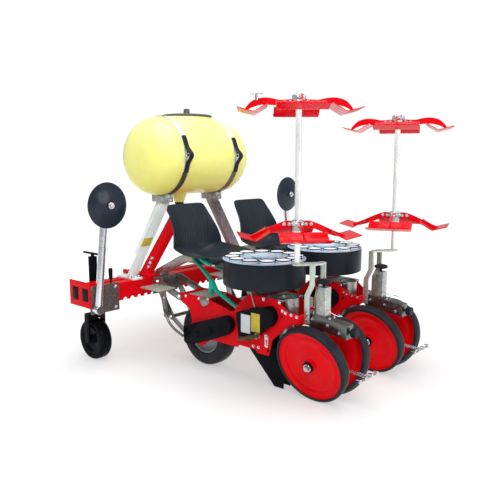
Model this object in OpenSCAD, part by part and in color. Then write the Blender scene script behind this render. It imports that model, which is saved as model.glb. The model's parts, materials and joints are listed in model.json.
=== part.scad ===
// Vegetable transplanter with two planting rows, carried on a tractor's three-point hitch.
// X points to the machine's right, Y the way it travels and Z up; lengths are in millimetres.

/* [Layout] */
// distance between the two planting rows
row_spacing = 660; // [600:10:760]
// from the press wheels' axle to the drive wheels' axle
drive_y = 980; // [940:5:1020]
// from the press wheels' axle to the rear face of the toolbar
beam_y = 1440; // [1420:5:1480]
// underside of the toolbar above the ground
beam_z = 475; // [465:1:490]
// toolbar's left end, from the hitch centre line
beam_left = 970; // [940:5:1000]
// toolbar's right end, from the hitch centre line
beam_right = 1150; // [1120:5:1200]

/* [Toolbar] */
// width of one toolbar tube, fore and aft
tube_w = 80; // [70:1:90]
// height of the toolbar tubes
tube_h = 100; // [90:1:110]
// wall of the toolbar tubes
tube_wall = 8; // [5:0.5:12]
// gap between the two toolbar tubes
tube_gap = 35; // [25:1:45]
// thickness of the toolbar's end plates
end_t = 10; // [6:0.5:14]
// length of the end plates fore and aft
end_len = 236; // [225:1:245]
// height of the end plates
end_h = 172; // [150:1:180]
// how far the end plates stand behind the toolbar's rear face
end_behind = 10; // [6:0.5:12]
// how far the tube plugs stand out of the end plates
plug_proud = 3; // [1:0.5:8]
// depth of a tube plug inside the tube
plug_depth = 25; // [15:1:40]
// height of the rack strip under the rear tube
rack_h = 24; // [16:1:30]
// thickness of the rack strip
rack_t = 12; // [8:0.5:16]
// pitch of the rack strip's scallops
rack_pitch = 60; // [50:1:80]
// radius of the rack strip's scallops
rack_r = 18; // [12:0.5:22]

/* [End brackets and markers] */
// thickness of the end brackets
bracket_t = 10; // [8:0.5:14]
// width of the end brackets
bracket_w = 222; // [210:1:235]
// height of the end brackets
bracket_h = 190; // [180:1:200]
// underside of the end brackets above the ground
bracket_z = 395; // [385:1:400]
// from the toolbar's end to the end bracket
bracket_in = 2; // [1:0.5:20]
// from the bracket's outer edge to the marker pivot
pivot_in = 32; // [31:0.5:45]
// height of the marker pivots above the ground
pivot_z = 432; // [428:1:440]
// diameter of the marker pivot pins
pivot_d = 25; // [20:0.5:30]
// width of the square marker post
marker_w = 50; // [40:1:56]
// wall round the marker pivot's bore
marker_eye_wall = 18; // [12:0.5:24]
// from marker pivot to marker disc centre
marker_len = 690; // [600:5:700]
// lean of the marker posts towards the middle, in degrees
marker_lean = 6.5; // [3:0.5:9]
// diameter of the marker discs
disc_d = 300; // [280:2:320]
// depth of the marker discs' dish
disc_dish = 26; // [18:1:34]
// sheet thickness of the marker discs
disc_t = 5; // [4:0.5:8]
// diameter of the marker discs' spindles
spindle_d = 20; // [16:0.5:24]
// diameter of the marker discs' hubs
disc_hub_d = 56; // [44:1:64]

/* [Gauge wheels] */
// gauge wheel's distance in from the toolbar's end
gauge_in = 190; // [180:1:210]
// diameter of the gauge wheels
gauge_d = 292; // [280:1:300]
// width of the gauge wheels
gauge_w = 92; // [80:1:100]
// diameter of the gauge wheels' axles
gauge_axle_d = 25; // [20:0.5:30]
// thickness of the fork's cheeks
cheek_t = 12; // [8:0.5:16]
// width of the fork's cheeks fore and aft
cheek_w = 50; // [40:1:60]
// diameter of the jack tube
jack_d = 60; // [50:1:64]
// height of the jack tube's top above the ground
jack_top = 740; // [700:5:780]
// radius of the jack's crank bar
crank_r = 8; // [6:0.5:10]
// length of the jack's crank bar
crank_len = 210; // [190:5:220]
// height of the crank bar above the jack
crank_rise = 22; // [18:1:28]
// room between gauge wheel and fork crown
crown_gap = 26; // [15:1:30]
// thickness of the fork crown
crown_t = 20; // [14:1:26]

/* [Hitch] */
// hitch legs' distance from the centre line at the toolbar
hitch_foot_x = 435; // [425:1:445]
// width of the hitch legs
hitch_leg_w = 66; // [54:1:72]
// depth of the hitch legs fore and aft
hitch_leg_d = 80; // [60:1:100]
// height of the hitch head's top above the ground
hitch_top = 1066; // [1040:1:1070]
// height of the hitch head
hitch_head_h = 84; // [70:1:100]
// half width of the hitch head
hitch_head_x = 96; // [80:1:110]
// bore for the top link pin
top_pin_d = 25.5; // [19:0.5:32]
// gap between the top link plates
top_gap = 60; // [52:1:70]
// thickness of the hitch plates
hitch_t = 14; // [10:0.5:18]
// forward reach of the top link bore from the toolbar's front face
top_reach = 70; // [60:1:90]
// diameter of the lower hitch pins
low_pin_d = 28; // [22:0.5:36]
// length of the lower hitch pins
low_pin_len = 125; // [110:1:140]
// height of the lower hitch pins above the ground
low_pin_z = 430; // [420:1:450]
// forward reach of the lower hitch pins from the toolbar's front face
low_reach = 130; // [120:5:140]
// radius of the eyes at the hitch bores
eye_r = 40; // [34:1:44]

/* [Water tank] */
// diameter of the water tank
tank_d = 554; // [530:2:570]
// length of the water tank
tank_len = 980; // [940:5:1020]
// corner radius of the tank's ends
tank_round = 190; // [150:2:220]
// wall of the tank
tank_wall = 8; // [6:0.5:12]
// height of the tank's underside above the ground
tank_base = 1155; // [1148:1:1163]
// distance of the straps from the tank's middle
strap_x = 255; // [235:1:275]
// width of the straps
strap_w = 45; // [36:1:54]
// thickness of the straps
strap_t = 4; // [3:0.5:6]
// thickness of the rubber tensioners
tension_t = 14; // [10:0.5:18]
// how far the rubber tensioners bow out from the straps
tension_bow = 55; // [45:1:65]
// width of the rubber tensioners
tension_w = 34; // [26:1:36]
// width of the tank saddles
saddle_w = 62; // [56:1:70]
// length of the tank saddles fore and aft
saddle_len = 170; // [150:2:200]
// underside of the tank saddles above the ground
saddle_z = 1105; // [1095:1:1115]
// top of the tank saddles above the ground
saddle_top = 1172; // [1165:1:1180]
// width of the tank legs
leg_w = 78; // [66:1:90]
// depth of the tank legs fore and aft
leg_d = 50; // [40:1:60]
// wall of the tank legs
leg_t = 6; // [4:0.5:8]
// tank legs' distance from the centre line at the toolbar
leg_foot_x = 575; // [560:1:600]
// outer diameter of the filler neck
neck_d = 330; // [310:2:350]
// wall of the filler neck
neck_wall = 10; // [6:0.5:14]
// height of the filler neck above the tank's top
neck_h = 24; // [16:1:30]
// diameter of the lid
lid_d = 384; // [360:2:400]
// thickness of the lid
lid_t = 24; // [16:1:30]
// diameter of the lid's knob
knob_d = 46; // [40:2:60]
// height of the lid's knob
knob_h = 40; // [30:1:46]
// outlet's distance from the tank's middle
outlet_x = 90; // [60:1:120]
// diameter of the outlet spout at the tank
outlet_root_d = 116; // [100:1:130]
// diameter of the outlet spout's end
outlet_d = 70; // [60:1:80]
// length of the outlet spout below the tank
outlet_len = 60; // [50:1:66]
// height of the outlet cap
outlet_cap_h = 14; // [10:1:20]

/* [Seats] */
// width of the seats
seat_w = 400; // [370:2:430]
// length of the seat pan
seat_len = 390; // [360:2:410]
// seat pan's rear edge from the press wheels' axle
seat_y = 748; // [745:1:760]
// underside of the seat pan above the ground
seat_z = 745; // [735:1:770]
// height of the seat back above the pan's underside
seat_back_h = 370; // [340:2:400]
// rake of the seat back, as run at its top
seat_rake = 90; // [60:2:120]
// shell thickness of the seats
seat_t = 18; // [12:1:24]
// corner radius of the seats
seat_round = 70; // [40:1:90]
// how much narrower the seat back is at its top, on each side
seat_taper = 24; // [10:1:26]
// height of the seat's side bolsters
bolster_h = 62; // [40:1:80]
// thickness of the seat's side bolsters
bolster_t = 26; // [16:1:36]
// width of the seat supports
support_w = 80; // [60:1:90]
// height of the seat supports' section
support_h = 40; // [30:1:50]

/* [Planting units] */
// inside width between the side plates
unit_in = 200; // [195:1:210]
// thickness of the side plates
plate_t = 8; // [6:0.5:10]
// length of the side plates
plate_len = 1095; // [1085:1:1105]
// side plates' rear tip from the press wheels' axle
plate_y = 118; // [115:1:125]
// height of the side plates
plate_h = 362; // [358:1:370]
// lowest straight edge of the side plates above the ground
plate_z = 225; // [220:1:230]
// outline of a side plate, as shares of its length and height
plate_shares = [[1, .68], [1, .73], [.95, .77], [.717, .771], [.52, .63], [.48, .63], [.445, .785],
    [.364, 1], [.163, 1], [.077, .81], [0, .81], [.012, .68], [.08, .58], [.19, .29], [.215, 0], [.30, 0], [.31, .05],
    [.44, .05], [.45, 0]];
// side plates' outline round the drive axle, as shares of the plate's height from the axle
axle_shares = [[-.445, 0], [-.324, -.02], [-.144, -.16], [.188, -.16], [.220, .1], [.144, .28], [.220, .5]];
// side plates' front lower corner, as shares of their length and height
nose_shares = [[.95, .62]];
// diameter of the frame's cross tubes
cross_d = 40; // [30:1:46]
// thickness of the folded sheet parts
sheet_t = 8; // [5:0.5:10]
// thickness of the chain cases
case_t = 50; // [40:1:60]
// radius of the lower chain case
case_r = 64; // [56:1:70]
// radius of the upper chain case
case_top_r = 88; // [80:1:94]
// half width of the opener
opener_x = 38; // [32:1:40]
// wall of the opener
opener_t = 7; // [5:0.5:9]
// height of the opener's sole above the ground
opener_z = 9; // [8:1:16]
// height of the opener's top above the ground
opener_top = 330; // [320:1:340]
// gap between the press tyres' front and the opener
opener_gap = 3; // [3:0.5:8]
// length of the opener
opener_len = 308; // [300:1:314]
// side outline of the opener, as shares of its length and height
opener_shares = [[0, 0], [.23, 0], [1, .72], [1, 1], [0, 1]];
// outer radius of the drop funnel
funnel_r = 60; // [56:1:62]
// wall of the drop funnel
funnel_t = 4; // [3:0.5:6]

/* [Drive wheels] */
// diameter of the drive wheels
drive_d = 450; // [430:2:460]
// width of the drive wheels' tyres
drive_w = 120; // [100:1:130]
// diameter of the drive wheels' rims
rim_d = 264; // [240:2:280]
// width of the drive wheels' rims
rim_w = 90; // [80:1:96]
// wall of the drive wheels' rims
rim_t = 8; // [5:0.5:10]
// diameter of the drive wheels' axles
drive_axle_d = 30; // [25:0.5:34]
// diameter of the drive wheels' hubs
drive_hub_d = 64; // [54:1:68]
// length of the drive wheels' hubs
drive_hub_len = 168; // [150:1:170]

/* [Carousels] */
// carousel centre from the press wheels' axle
carousel_y = 480; // [470:1:490]
// diameter of the carousels
carousel_d = 520; // [500:2:530]
// height of the carousel drums
drum_h = 160; // [150:1:170]
// underside of the carousel drums above the ground
drum_z = 642; // [636:1:650]
// thickness of the carousels' top plates
top_t = 5; // [3:0.5:8]
// cups in one carousel
cup_n = 12; // [8:1:12]
// web between neighbouring cups
cup_web = 11.5; // [8:0.5:16]
// web between the cups and the carousel's edge
cup_rim = 14; // [10:0.5:18]
// depth of a cup below the top plate
cup_depth = 130; // [110:1:140]
// diameter of the carousel shafts
shaft_d = 30; // [24:0.5:36]
// diameter of the carousels' bearing boss
boss_d = 90; // [80:1:100]
// diameter of the raised middle of the top plate
mid_d = 150; // [130:2:170]
// height of the raised middle of the top plate
mid_h = 10; // [6:0.5:14]

/* [Press wheels] */
// diameter of the press wheels
press_d = 474; // [468:1:480]
// width of the press wheels' tyres
press_w = 72; // [66:1:76]
// radial height of the press wheels' tyres
press_tyre_h = 22; // [20:1:26]
// shoulder chamfer of the press wheels' tyres
press_round = 10; // [6:0.5:12]
// camber of the press wheels, in degrees
camber = 15; // [13:0.5:16]
// press wheel centre's distance from its row
press_x = 112; // [110:1:118]
// place of the press wheels' hubs ahead of the machine's rear datum
press_y = 52; // [48:1:56]
// place of the press wheel pair's middle to the right of the unit's middle
press_shift = 34; // [30:1:36]
// diameter of the press wheels' stub axles
stub_d = 25; // [20:0.5:30]
// diameter of the press wheels' hubs
press_hub_d = 64; // [54:1:70]
// length of the press wheels' hubs
press_hub_len = 78; // [74:1:84]
// sheet thickness of the press wheels' discs
press_disc_t = 8; // [5:0.5:10]
// dish of the press wheels' discs, from rim to hub
press_dish = 10; // [4:0.5:14]
// width of the press wheels' rims
press_rim_w = 56; // [50:1:60]

/* [Press arms] */
// width of the press arms
arm_w = 70; // [60:1:80]
// height of the press arms
arm_h = 80; // [70:1:90]
// top of a press arm at its front end, above the ground
arm_z = 530; // [520:1:540]
// drop of the press arm to its rear end
arm_drop = 40; // [20:1:50]
// rear end of the press arms behind the press wheels' axle
arm_rear = 150; // [140:1:160]
// width of the depth boxes
depth_w = 60; // [50:1:64]
// depth box centre from the press wheels' axle
depth_y = 30; // [28:1:34]
// top of the depth boxes above the ground
depth_top = 685; // [660:1:700]
// thickness of the press leg
press_leg_t = 36; // [30:1:40]
// width of the press leg fore and aft
press_leg_w = 60; // [50:1:66]
// underside of the press leg above the ground
press_leg_z = 196; // [190:1:200]
// diameter of the depth knobs
depth_knob_d = 80; // [60:1:84]
// height of the depth knobs
depth_knob_h = 34; // [26:1:40]
// diameter of the arm end's knobs
end_knob_d = 56; // [44:1:64]
// width of the scraper crossbars
scraper_w = 220; // [200:2:240]
// reach of the scrapers behind the press wheels' axle
scraper_y = 256; // [254:1:264]
// height of the scrapers above the ground
scraper_z = 202; // [201:1:210]

/* [Tray stands] */
// thickness of the stand brackets' flats
flat_t = 8; // [6:0.5:10]
// distance of the stand brackets' flats from the row
flat_x = 50; // [46:1:56]
// width of the stand brackets' flats
flat_w = 36; // [28:1:40]
// top of the stand brackets above the ground
stand_z = 810; // [800:1:820]
// rearward offset of the stand brackets' upper half
flat_jog = 34; // [24:1:40]
// width of the stands' top bars
top_bar_w = 60; // [50:1:66]
// thickness of the stands' top bars
top_bar_t = 10; // [8:0.5:14]
// diameter of the stand posts
post_d = 34; // [30:0.5:40]
// left stand's post, to the left of its row
left_post_x = 100; // [80:1:120]
// left stand's post from the press wheels' axle
left_post_y = 150; // [140:1:160]
// right stand's post, to the right of its row
right_post_x = 105; // [80:1:120]
// right stand's post from the press wheels' axle
right_post_y = 0; // [-10:1:10]
// height of the left stand's lower tier
left_low_z = 1042; // [1030:2:1060]
// height of the left stand's upper tier
left_high_z = 1734; // [1700:2:1760]
// height of the right stand's lower tier
right_low_z = 1044; // [1030:2:1080]
// height of the right stand's upper tier
right_high_z = 1664; // [1640:2:1700]
// turn of the left stand's lower tier at rest
left_low_angle = 47; // [0:1:90]
// turn of the left stand's upper tier at rest
left_high_angle = 41; // [0:1:90]
// turn of the right stand's lower tier at rest
right_low_angle = 20; // [0:1:90]
// turn of the right stand's upper tier at rest
right_high_angle = 25; // [0:1:90]
// length of a tier's hub
tier_hub_h = 60; // [54:1:70]
// diameter of a tier's hub
tier_hub_d = 60; // [52:1:66]
// arms and trays in one tier
tray_n = 4; // [3:1:4]
// length of a tray
tray_len = 250; // [220:2:280]
// width of a tray
tray_w = 165; // [150:1:180]
// outer edge of a tray from the post
tray_reach = 340; // [330:1:350]
// rise of a tray's inner side
tray_rise_in = 46; // [40:1:52]
// rise of a tray's outer side
tray_rise_out = 24; // [18:1:30]
// sheet thickness of tiers and trays
tray_t = 6; // [4:0.5:8]
// tray floor's drop below the tier's hub
tray_drop = 74; // [60:1:80]
// width of a tier's arms
tier_arm_w = 56; // [40:1:64]
// side outline of a tier's arms, as shares of the trays' reach and their drop below the hub
arm_shares = [[.07, .06], [.30, -.06], [.45, .12], [.60, .16], [.75, -.04], [.86, -.50], [.90, -.80], [.84, -.90],
    [.77, -.58], [.68, -.38], [.58, -.34], [.45, -.36], [.30, -.44], [.07, -.38]];

/* [Hoses] */
// diameter of the water hoses
hose_d = 26; // [20:1:28]

/* [Hidden] */
$fn = 48;
// named list of every sub-part

LEFT = -1;
RIGHT = 1;
SIDES = [LEFT, RIGHT];
// clearance of a running fit, on the radius
run_fit = 0.05;
// gap where a moving piece rests on a fixed one
rest_gap = 0.5;
// gap beside a moving piece
side_gap = 6;
// overrun of a cut past the face it opens
over = 2;

unit_x = row_spacing / 2;
beam_top = beam_z + tube_h;
beam_front = beam_y + 2 * tube_w + tube_gap;
beam_mid = (beam_y + beam_front) / 2;
plate_x = unit_in / 2;
plate_out = plate_x + plate_t;

// press wheel's section: place along the axle and radius
press_r = press_d / 2;
press_in_r = press_r - press_tyre_h;
press_section = [[-press_w / 2, press_in_r], [press_w / 2, press_in_r], [press_w / 2, press_r - press_round],
    [press_w / 2 - press_round, press_r], [press_round - press_w / 2, press_r],
    [-press_w / 2, press_r - press_round]];
press_z = max([for (p = press_section) p.x * sin(camber) + p.y * cos(camber)]);

// tray stands, one row for each: side, post from the centre line, post from the axle, lower tier, upper tier,
// turns of both tiers
stand_side = 0;
stand_px = 1;
stand_py = 2;
stand_low = 3;
stand_high = 4;
stand_turns = 5;
STANDS = [[LEFT, -unit_x - left_post_x, left_post_y, left_low_z, left_high_z, [left_low_angle, left_high_angle]],
    [RIGHT, unit_x + right_post_x, right_post_y, right_low_z, right_high_z, [right_low_angle, right_high_angle]]];

gauge_r = gauge_d / 2;
gauge_y = beam_front + jack_d / 2 + side_gap * 3;
gauge_cheek_x = gauge_w / 2 + side_gap * 2;
drive_r = drive_d / 2;
carousel_top_z = drum_z + drum_h;
cup_share = sin(180 / cup_n);
cup_pitch = (carousel_d / 2 - cup_rim + cup_web / 2) / (1 + cup_share);
cup_d = 2 * cup_pitch * cup_share - cup_web;

// box corners of the whole machine, for the origin below its middle
tray_ends = [for (s = STANDS) for (turn = s[stand_turns]) for (i = [0 : tray_n - 1]) for (side = SIDES)
    s[stand_py] + tray_reach * sin(turn + i * 360 / tray_n) + side * tray_len / 2 * cos(turn + i * 360 / tray_n)];
rear_end = min(tray_ends);
front_end = gauge_y + gauge_r;
origin_x = (beam_right - beam_left) / 2;
origin_y = (rear_end + front_end) / 2;

RED = [0.80, 0.05, 0.05];
ZINC = [0.72, 0.74, 0.75];
BLACK = [0.09, 0.10, 0.12];
YELLOW = [0.90, 0.86, 0.45];
GREEN = [0.10, 0.50, 0.42];
GREY = [0.30, 0.32, 0.34];

// moves the hitch centre line and axle line so that the origin lies below the machine's middle
module placed() {
    translate([-origin_x, -origin_y, 0]) children();
}

// block between two corners given as ranges
module slab(x, y, z) {
    translate([x[0], y[0], z[0]]) cube([x[1] - x[0], y[1] - y[0], z[1] - z[0]]);
}

// round bar along X between two places
module rod_x(r, x, y, z) {
    translate([x[0], y, z]) rotate([0, 90, 0]) cylinder(r = r, h = x[1] - x[0]);
}

// round bar along Y between two places
module rod_y(r, x, y, z) {
    translate([x, y[0], z]) rotate([-90, 0, 0]) cylinder(r = r, h = y[1] - y[0]);
}

// round bar along Z between two places
module rod_z(r, x, y, z) {
    translate([x, y, z[0]]) cylinder(r = r, h = z[1] - z[0]);
}

// outline in Y and Z given thickness along X
module plate_x_at(x) {
    translate([x[0], 0, 0]) rotate([90, 0, 90]) linear_extrude(x[1] - x[0]) children();
}

// outline in X and Z given thickness along Y
module plate_y_at(y) {
    translate([0, y[1], 0]) rotate([90, 0, 0]) linear_extrude(y[1] - y[0]) children();
}

// mirrored copy for the left side
module on_side(side) {
    if (side < 0) mirror([1, 0, 0]) children();
    else children();
}

// one copy on each side of the centre line
module both_sides() {
    for (side = SIDES) on_side(side) children();
}

// one like copy at each planting unit
module at_units() {
    for (side = SIDES) translate([side * unit_x, 0, 0]) children();
}

// turned section with its axis along X
module turned_x() {
    rotate([0, 90, 0]) rotate_extrude() rotate([0, 0, 90]) mirror([0, 1, 0]) children();
}

// strip of even width joining two points of an outline
module strip(a, b, r) {
    d = b - a;
    n = [-d.y, d.x] * r / norm(d);
    union() {
        polygon([a + n, b + n, b - n, a - n]);
        translate(a) circle(r);
        translate(b) circle(r);
    }
}

// two toolbar tubes as one outline in Y and Z, shrunk by a wall
module tube_outline(wall) {
    for (y = [beam_y, beam_y + tube_w + tube_gap])
        translate([y + wall, beam_z + wall]) square([tube_w - 2 * wall, tube_h - 2 * wall]);
}

// scalloped rack strip under the rear tube
module rack_strip() {
    difference() {
        slab([-beam_left + bracket_in + bracket_w, beam_right - bracket_in - bracket_w], [beam_y, beam_y + rack_t],
            [beam_z - rack_h, beam_z]);
        for (x = [-beam_left + bracket_in + bracket_w + rack_pitch : rack_pitch
            : beam_right - bracket_in - bracket_w - rack_pitch])
            rod_y(rack_r, x, [beam_y - over, beam_y + rack_t + over], beam_z - rack_h);
    }
}

module toolbar_beam() color(RED) placed() {
    difference() {
        union() {
            plate_x_at([-beam_left, beam_right]) tube_outline(0);
            for (x = [-beam_left - end_t, beam_right])
                slab([x, x + end_t], [beam_y - end_behind, beam_y - end_behind + end_len],
                    [beam_z + tube_h / 2 - end_h / 2, beam_z + tube_h / 2 + end_h / 2]);
            rack_strip();
        }
        plate_x_at([-beam_left - end_t - over, beam_right + end_t + over]) tube_outline(tube_wall);
    }
}

module end_plugs() color(BLACK) placed() {
    for (x = [[-beam_left - end_t - plug_proud, -beam_left - end_t + plug_depth],
        [beam_right + end_t - plug_depth, beam_right + end_t + plug_proud]])
        plate_x_at(x) tube_outline(tube_wall);
}

// outer edge of the end bracket and the marker's pivot on one side
function end_at(side) = side < 0 ? beam_left : beam_right;
function bracket_x(side) = end_at(side) - bracket_in;
function pivot_x(side) = bracket_x(side) - pivot_in;
marker_back = beam_y - bracket_t - side_gap;
marker_front = marker_back - marker_w;
pivot_r = pivot_d / 2;

module end_brackets() color(GREY) placed() {
    for (side = SIDES) on_side(side) {
        slab([bracket_x(side) - bracket_w, bracket_x(side)], [beam_y - bracket_t, beam_y],
            [bracket_z, bracket_z + bracket_h]);
        rod_y(pivot_r, pivot_x(side), [marker_front - side_gap - bracket_t, beam_y - bracket_t], pivot_z);
        rod_y(pivot_r * 2, pivot_x(side), [marker_front - side_gap - bracket_t, marker_front - side_gap], pivot_z);
    }
}

spindle_r = spindle_d / 2;
disc_hub_len = disc_dish;
spindle_len = disc_hub_len + 2 * side_gap;

// one marker post, standing at the origin with its pivot along Y
module marker_post() {
    eye = pivot_r + marker_eye_wall;
    rotate([0, -marker_lean, 0]) {
        difference() {
            union() {
                rod_y(eye, 0, [marker_front, marker_back], 0);
                slab([-marker_w / 2, marker_w / 2], [marker_front, marker_back], [0, marker_len + marker_w / 2]);
                rod_y(spindle_r, 0, [marker_front - spindle_len, marker_front], marker_len);
                rod_y(spindle_r * 2, 0, [marker_front - spindle_len - bracket_t, marker_front - spindle_len],
                    marker_len);
            }
            rod_y(pivot_r + run_fit, 0, [marker_front - over, marker_back + over], 0);
        }
    }
}

module marker_arm(side) color(ZINC) placed() {
    on_side(side) translate([pivot_x(side), 0, pivot_z]) marker_post();
}

module marker_arm_left() marker_arm(LEFT);
module marker_arm_right() marker_arm(RIGHT);

// dished disc with its hub, axis along Y at the origin
module dished_disc() {
    hub_y = marker_front - side_gap;
    rim_r = disc_d / 2;
    ball = (rim_r * rim_r + disc_dish * disc_dish) / (2 * disc_dish);
    translate([0, hub_y - disc_hub_len, 0]) rotate([-90, 0, 0]) difference() {
        union() {
            rotate_extrude() intersection() {
                difference() {
                    translate([0, ball]) circle(ball, $fn = 400);
                    translate([0, ball]) circle(ball - disc_t, $fn = 400);
                }
                square([rim_r, disc_dish]);
            }
            cylinder(r = disc_hub_d / 2, h = disc_hub_len);
        }
        translate([0, 0, -over]) cylinder(r = spindle_r + run_fit, h = disc_hub_len + 2 * over);
    }
}

module marker_disc(side) color(BLACK) placed() {
    on_side(side) translate([pivot_x(side), 0, pivot_z]) rotate([0, -marker_lean, 0])
        translate([0, 0, marker_len]) dished_disc();
}

module marker_disc_left() marker_disc(LEFT);
module marker_disc_right() marker_disc(RIGHT);

function gauge_x(side) = end_at(side) - gauge_in;

module gauge_legs() color(BLACK) placed() {
    for (side = SIDES) on_side(side) translate([gauge_x(side), 0, 0]) {
        crown_z = gauge_d + crown_gap;
        cheek_out = gauge_cheek_x + cheek_t;
        rod_z(jack_d / 2, 0, gauge_y, [crown_z, jack_top]);
        rod_z(crank_r * 1.5, 0, gauge_y, [jack_top, jack_top + crank_rise]);
        rod_y(crank_r, 0, [gauge_y - crank_len / 2, gauge_y + crank_len / 2], jack_top + crank_rise);
        slab([-jack_d / 2, jack_d / 2], [beam_front, gauge_y], [beam_z + tube_wall, beam_top - tube_wall]);
        slab([-cheek_out, cheek_out], [gauge_y - cheek_w / 2, gauge_y + cheek_w / 2], [crown_z, crown_z + crown_t]);
        for (x = [-cheek_out, gauge_cheek_x])
            plate_x_at([x, x + cheek_t]) strip([gauge_y, gauge_r], [gauge_y, crown_z - cheek_w / 2 + crown_t],
                cheek_w / 2);
        rod_x(gauge_axle_d / 2, [-cheek_out, cheek_out], gauge_y, gauge_r);
    }
}

module gauge_wheel(side) color(BLACK) placed() {
    on_side(side) translate([gauge_x(side), gauge_y, gauge_r]) difference() {
        half = gauge_w / 2;
        r = gauge_axle_d / 2 + run_fit;
        union() {
            turned_x() polygon([[-half, r], [half, r], [half, gauge_r * 0.86], [half * 0.72, gauge_r],
                [-half * 0.72, gauge_r], [-half, gauge_r * 0.86]]);
            rod_x(gauge_axle_d, [-half - side_gap, half + side_gap], 0, 0);
        }
        rod_x(r, [-gauge_w, gauge_w], 0, 0);
    }
}

module gauge_wheel_left() gauge_wheel(LEFT);
module gauge_wheel_right() gauge_wheel(RIGHT);

top_pin_y = beam_front + top_reach;
top_pin_z = hitch_top - hitch_head_h / 2;
low_pin_y = beam_front + low_reach;

// leaning leg in X and Z with level ends
module leaning(foot, head, w, z) {
    polygon([[foot - w / 2, z[0]], [foot + w / 2, z[0]], [head + w / 2, z[1]], [head - w / 2, z[1]]]);
}

module hitch_frame() color(RED) placed() {
    difference() {
        union() {
            slab([-hitch_head_x, hitch_head_x], [beam_mid - hitch_leg_d / 2, beam_mid + hitch_leg_d / 2],
                [hitch_top - hitch_head_h, hitch_top]);
            both_sides() {
                slab([hitch_foot_x - hitch_leg_w / 2, hitch_foot_x + hitch_leg_w / 2],
                    [beam_y, low_pin_y], [beam_top, beam_top + hitch_t]);
                plate_y_at([beam_mid - hitch_leg_d / 2, beam_mid + hitch_leg_d / 2])
                    leaning(hitch_foot_x, hitch_head_x - hitch_leg_w / 2, hitch_leg_w, [beam_top, hitch_top]);
                slab([top_gap / 2, top_gap / 2 + hitch_t], [beam_mid, top_pin_y],
                    [top_pin_z - eye_r, top_pin_z + eye_r]);
                rod_x(eye_r, [top_gap / 2, top_gap / 2 + hitch_t], top_pin_y, top_pin_z);
                slab([hitch_foot_x - hitch_t, hitch_foot_x], [beam_front, low_pin_y + eye_r],
                    [low_pin_z, beam_top + hitch_t]);
                rod_x(eye_r, [hitch_foot_x - hitch_t, hitch_foot_x], low_pin_y, low_pin_z);
                rod_x(low_pin_d / 2, [hitch_foot_x - hitch_t, hitch_foot_x + low_pin_len], low_pin_y, low_pin_z);
            }
        }
        rod_x(top_pin_d / 2, [-hitch_head_x, hitch_head_x], top_pin_y, top_pin_z);
    }
}

tank_r = tank_d / 2;
tank_z = tank_base + tank_r;
tank_y = beam_mid;

// half section of the tank along X, with large round ends
module tank_section(inset) {
    len = tank_len / 2 - inset;
    r = tank_r - inset;
    round_r = tank_round - inset;
    for (turn = [0, 1]) mirror([turn, 0]) {
        square([len - round_r, r]);
        square([len, r - round_r]);
        intersection() {
            translate([len - round_r, r - round_r]) circle(round_r);
            square([len, r]);
        }
    }
}

module tank() color(YELLOW) placed() {
    translate([0, tank_y, tank_z]) difference() {
        union() {
            turned_x() tank_section(0);
            rod_z(neck_d / 2, 0, 0, [0, tank_r + neck_h]);
            translate([-outlet_x, 0, -tank_r - outlet_len])
                cylinder(r1 = outlet_d / 2, r2 = outlet_root_d / 2, h = outlet_len);
            rod_z(outlet_root_d / 2, -outlet_x, 0, [-tank_r, 0]);
        }
        turned_x() tank_section(tank_wall);
        rod_z(neck_d / 2 - neck_wall, 0, 0, [0, tank_r + neck_h + over]);
        rod_z(outlet_d / 2 - neck_wall, -outlet_x, 0, [-tank_r - outlet_len - over, 0]);
    }
}

module tank_outlet() color(BLACK) placed() {
    rod_z(outlet_d / 2, -outlet_x, tank_y,
        [tank_z - tank_r - outlet_len - outlet_cap_h, tank_z - tank_r - outlet_len]);
}

module tank_lid() color(BLACK) placed() {
    z = tank_z + tank_r + neck_h + rest_gap;
    rod_z(lid_d / 2, 0, tank_y, [z, z + lid_t]);
    rod_z(knob_d / 2, 0, tank_y, [z, z + lid_t + knob_h]);
}

module tank_straps() color(ZINC) placed() {
    both_sides() difference() {
        rod_x(tank_r + strap_t, [strap_x - strap_w / 2, strap_x + strap_w / 2], tank_y, tank_z);
        rod_x(tank_r, [strap_x - strap_w, strap_x + strap_w], tank_y, tank_z);
    }
}

// angles of a tensioner's lower and upper end above the tank's axis, seen from the rear
tension_low_angle = -21;
tension_high_angle = 30;
tension_mid_angle = (tension_low_angle + tension_high_angle) / 2;
tension_half_angle = (tension_high_angle - tension_low_angle) / 2;
strap_r = tank_r + strap_t;
bow_chord = strap_r * sin(tension_half_angle);
bow_rise = strap_r - strap_r * cos(tension_half_angle) + tension_bow;
bow_r = (bow_chord * bow_chord + bow_rise * bow_rise) / (2 * bow_rise);
bow_out = strap_r + tension_bow - bow_r;
bow_y = tank_y - bow_out * cos(tension_mid_angle);
bow_z = tank_z + bow_out * sin(tension_mid_angle);

module strap_tensioners() color(BLACK) placed() {
    width = [strap_x - tension_w / 2, strap_x + tension_w / 2];
    wide = [strap_x - strap_w, strap_x + strap_w];
    both_sides() difference() {
        rod_x(bow_r, width, bow_y, bow_z);
        rod_x(bow_r - tension_t, wide, bow_y, bow_z);
        rod_x(strap_r, wide, tank_y, tank_z);
    }
}

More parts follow.
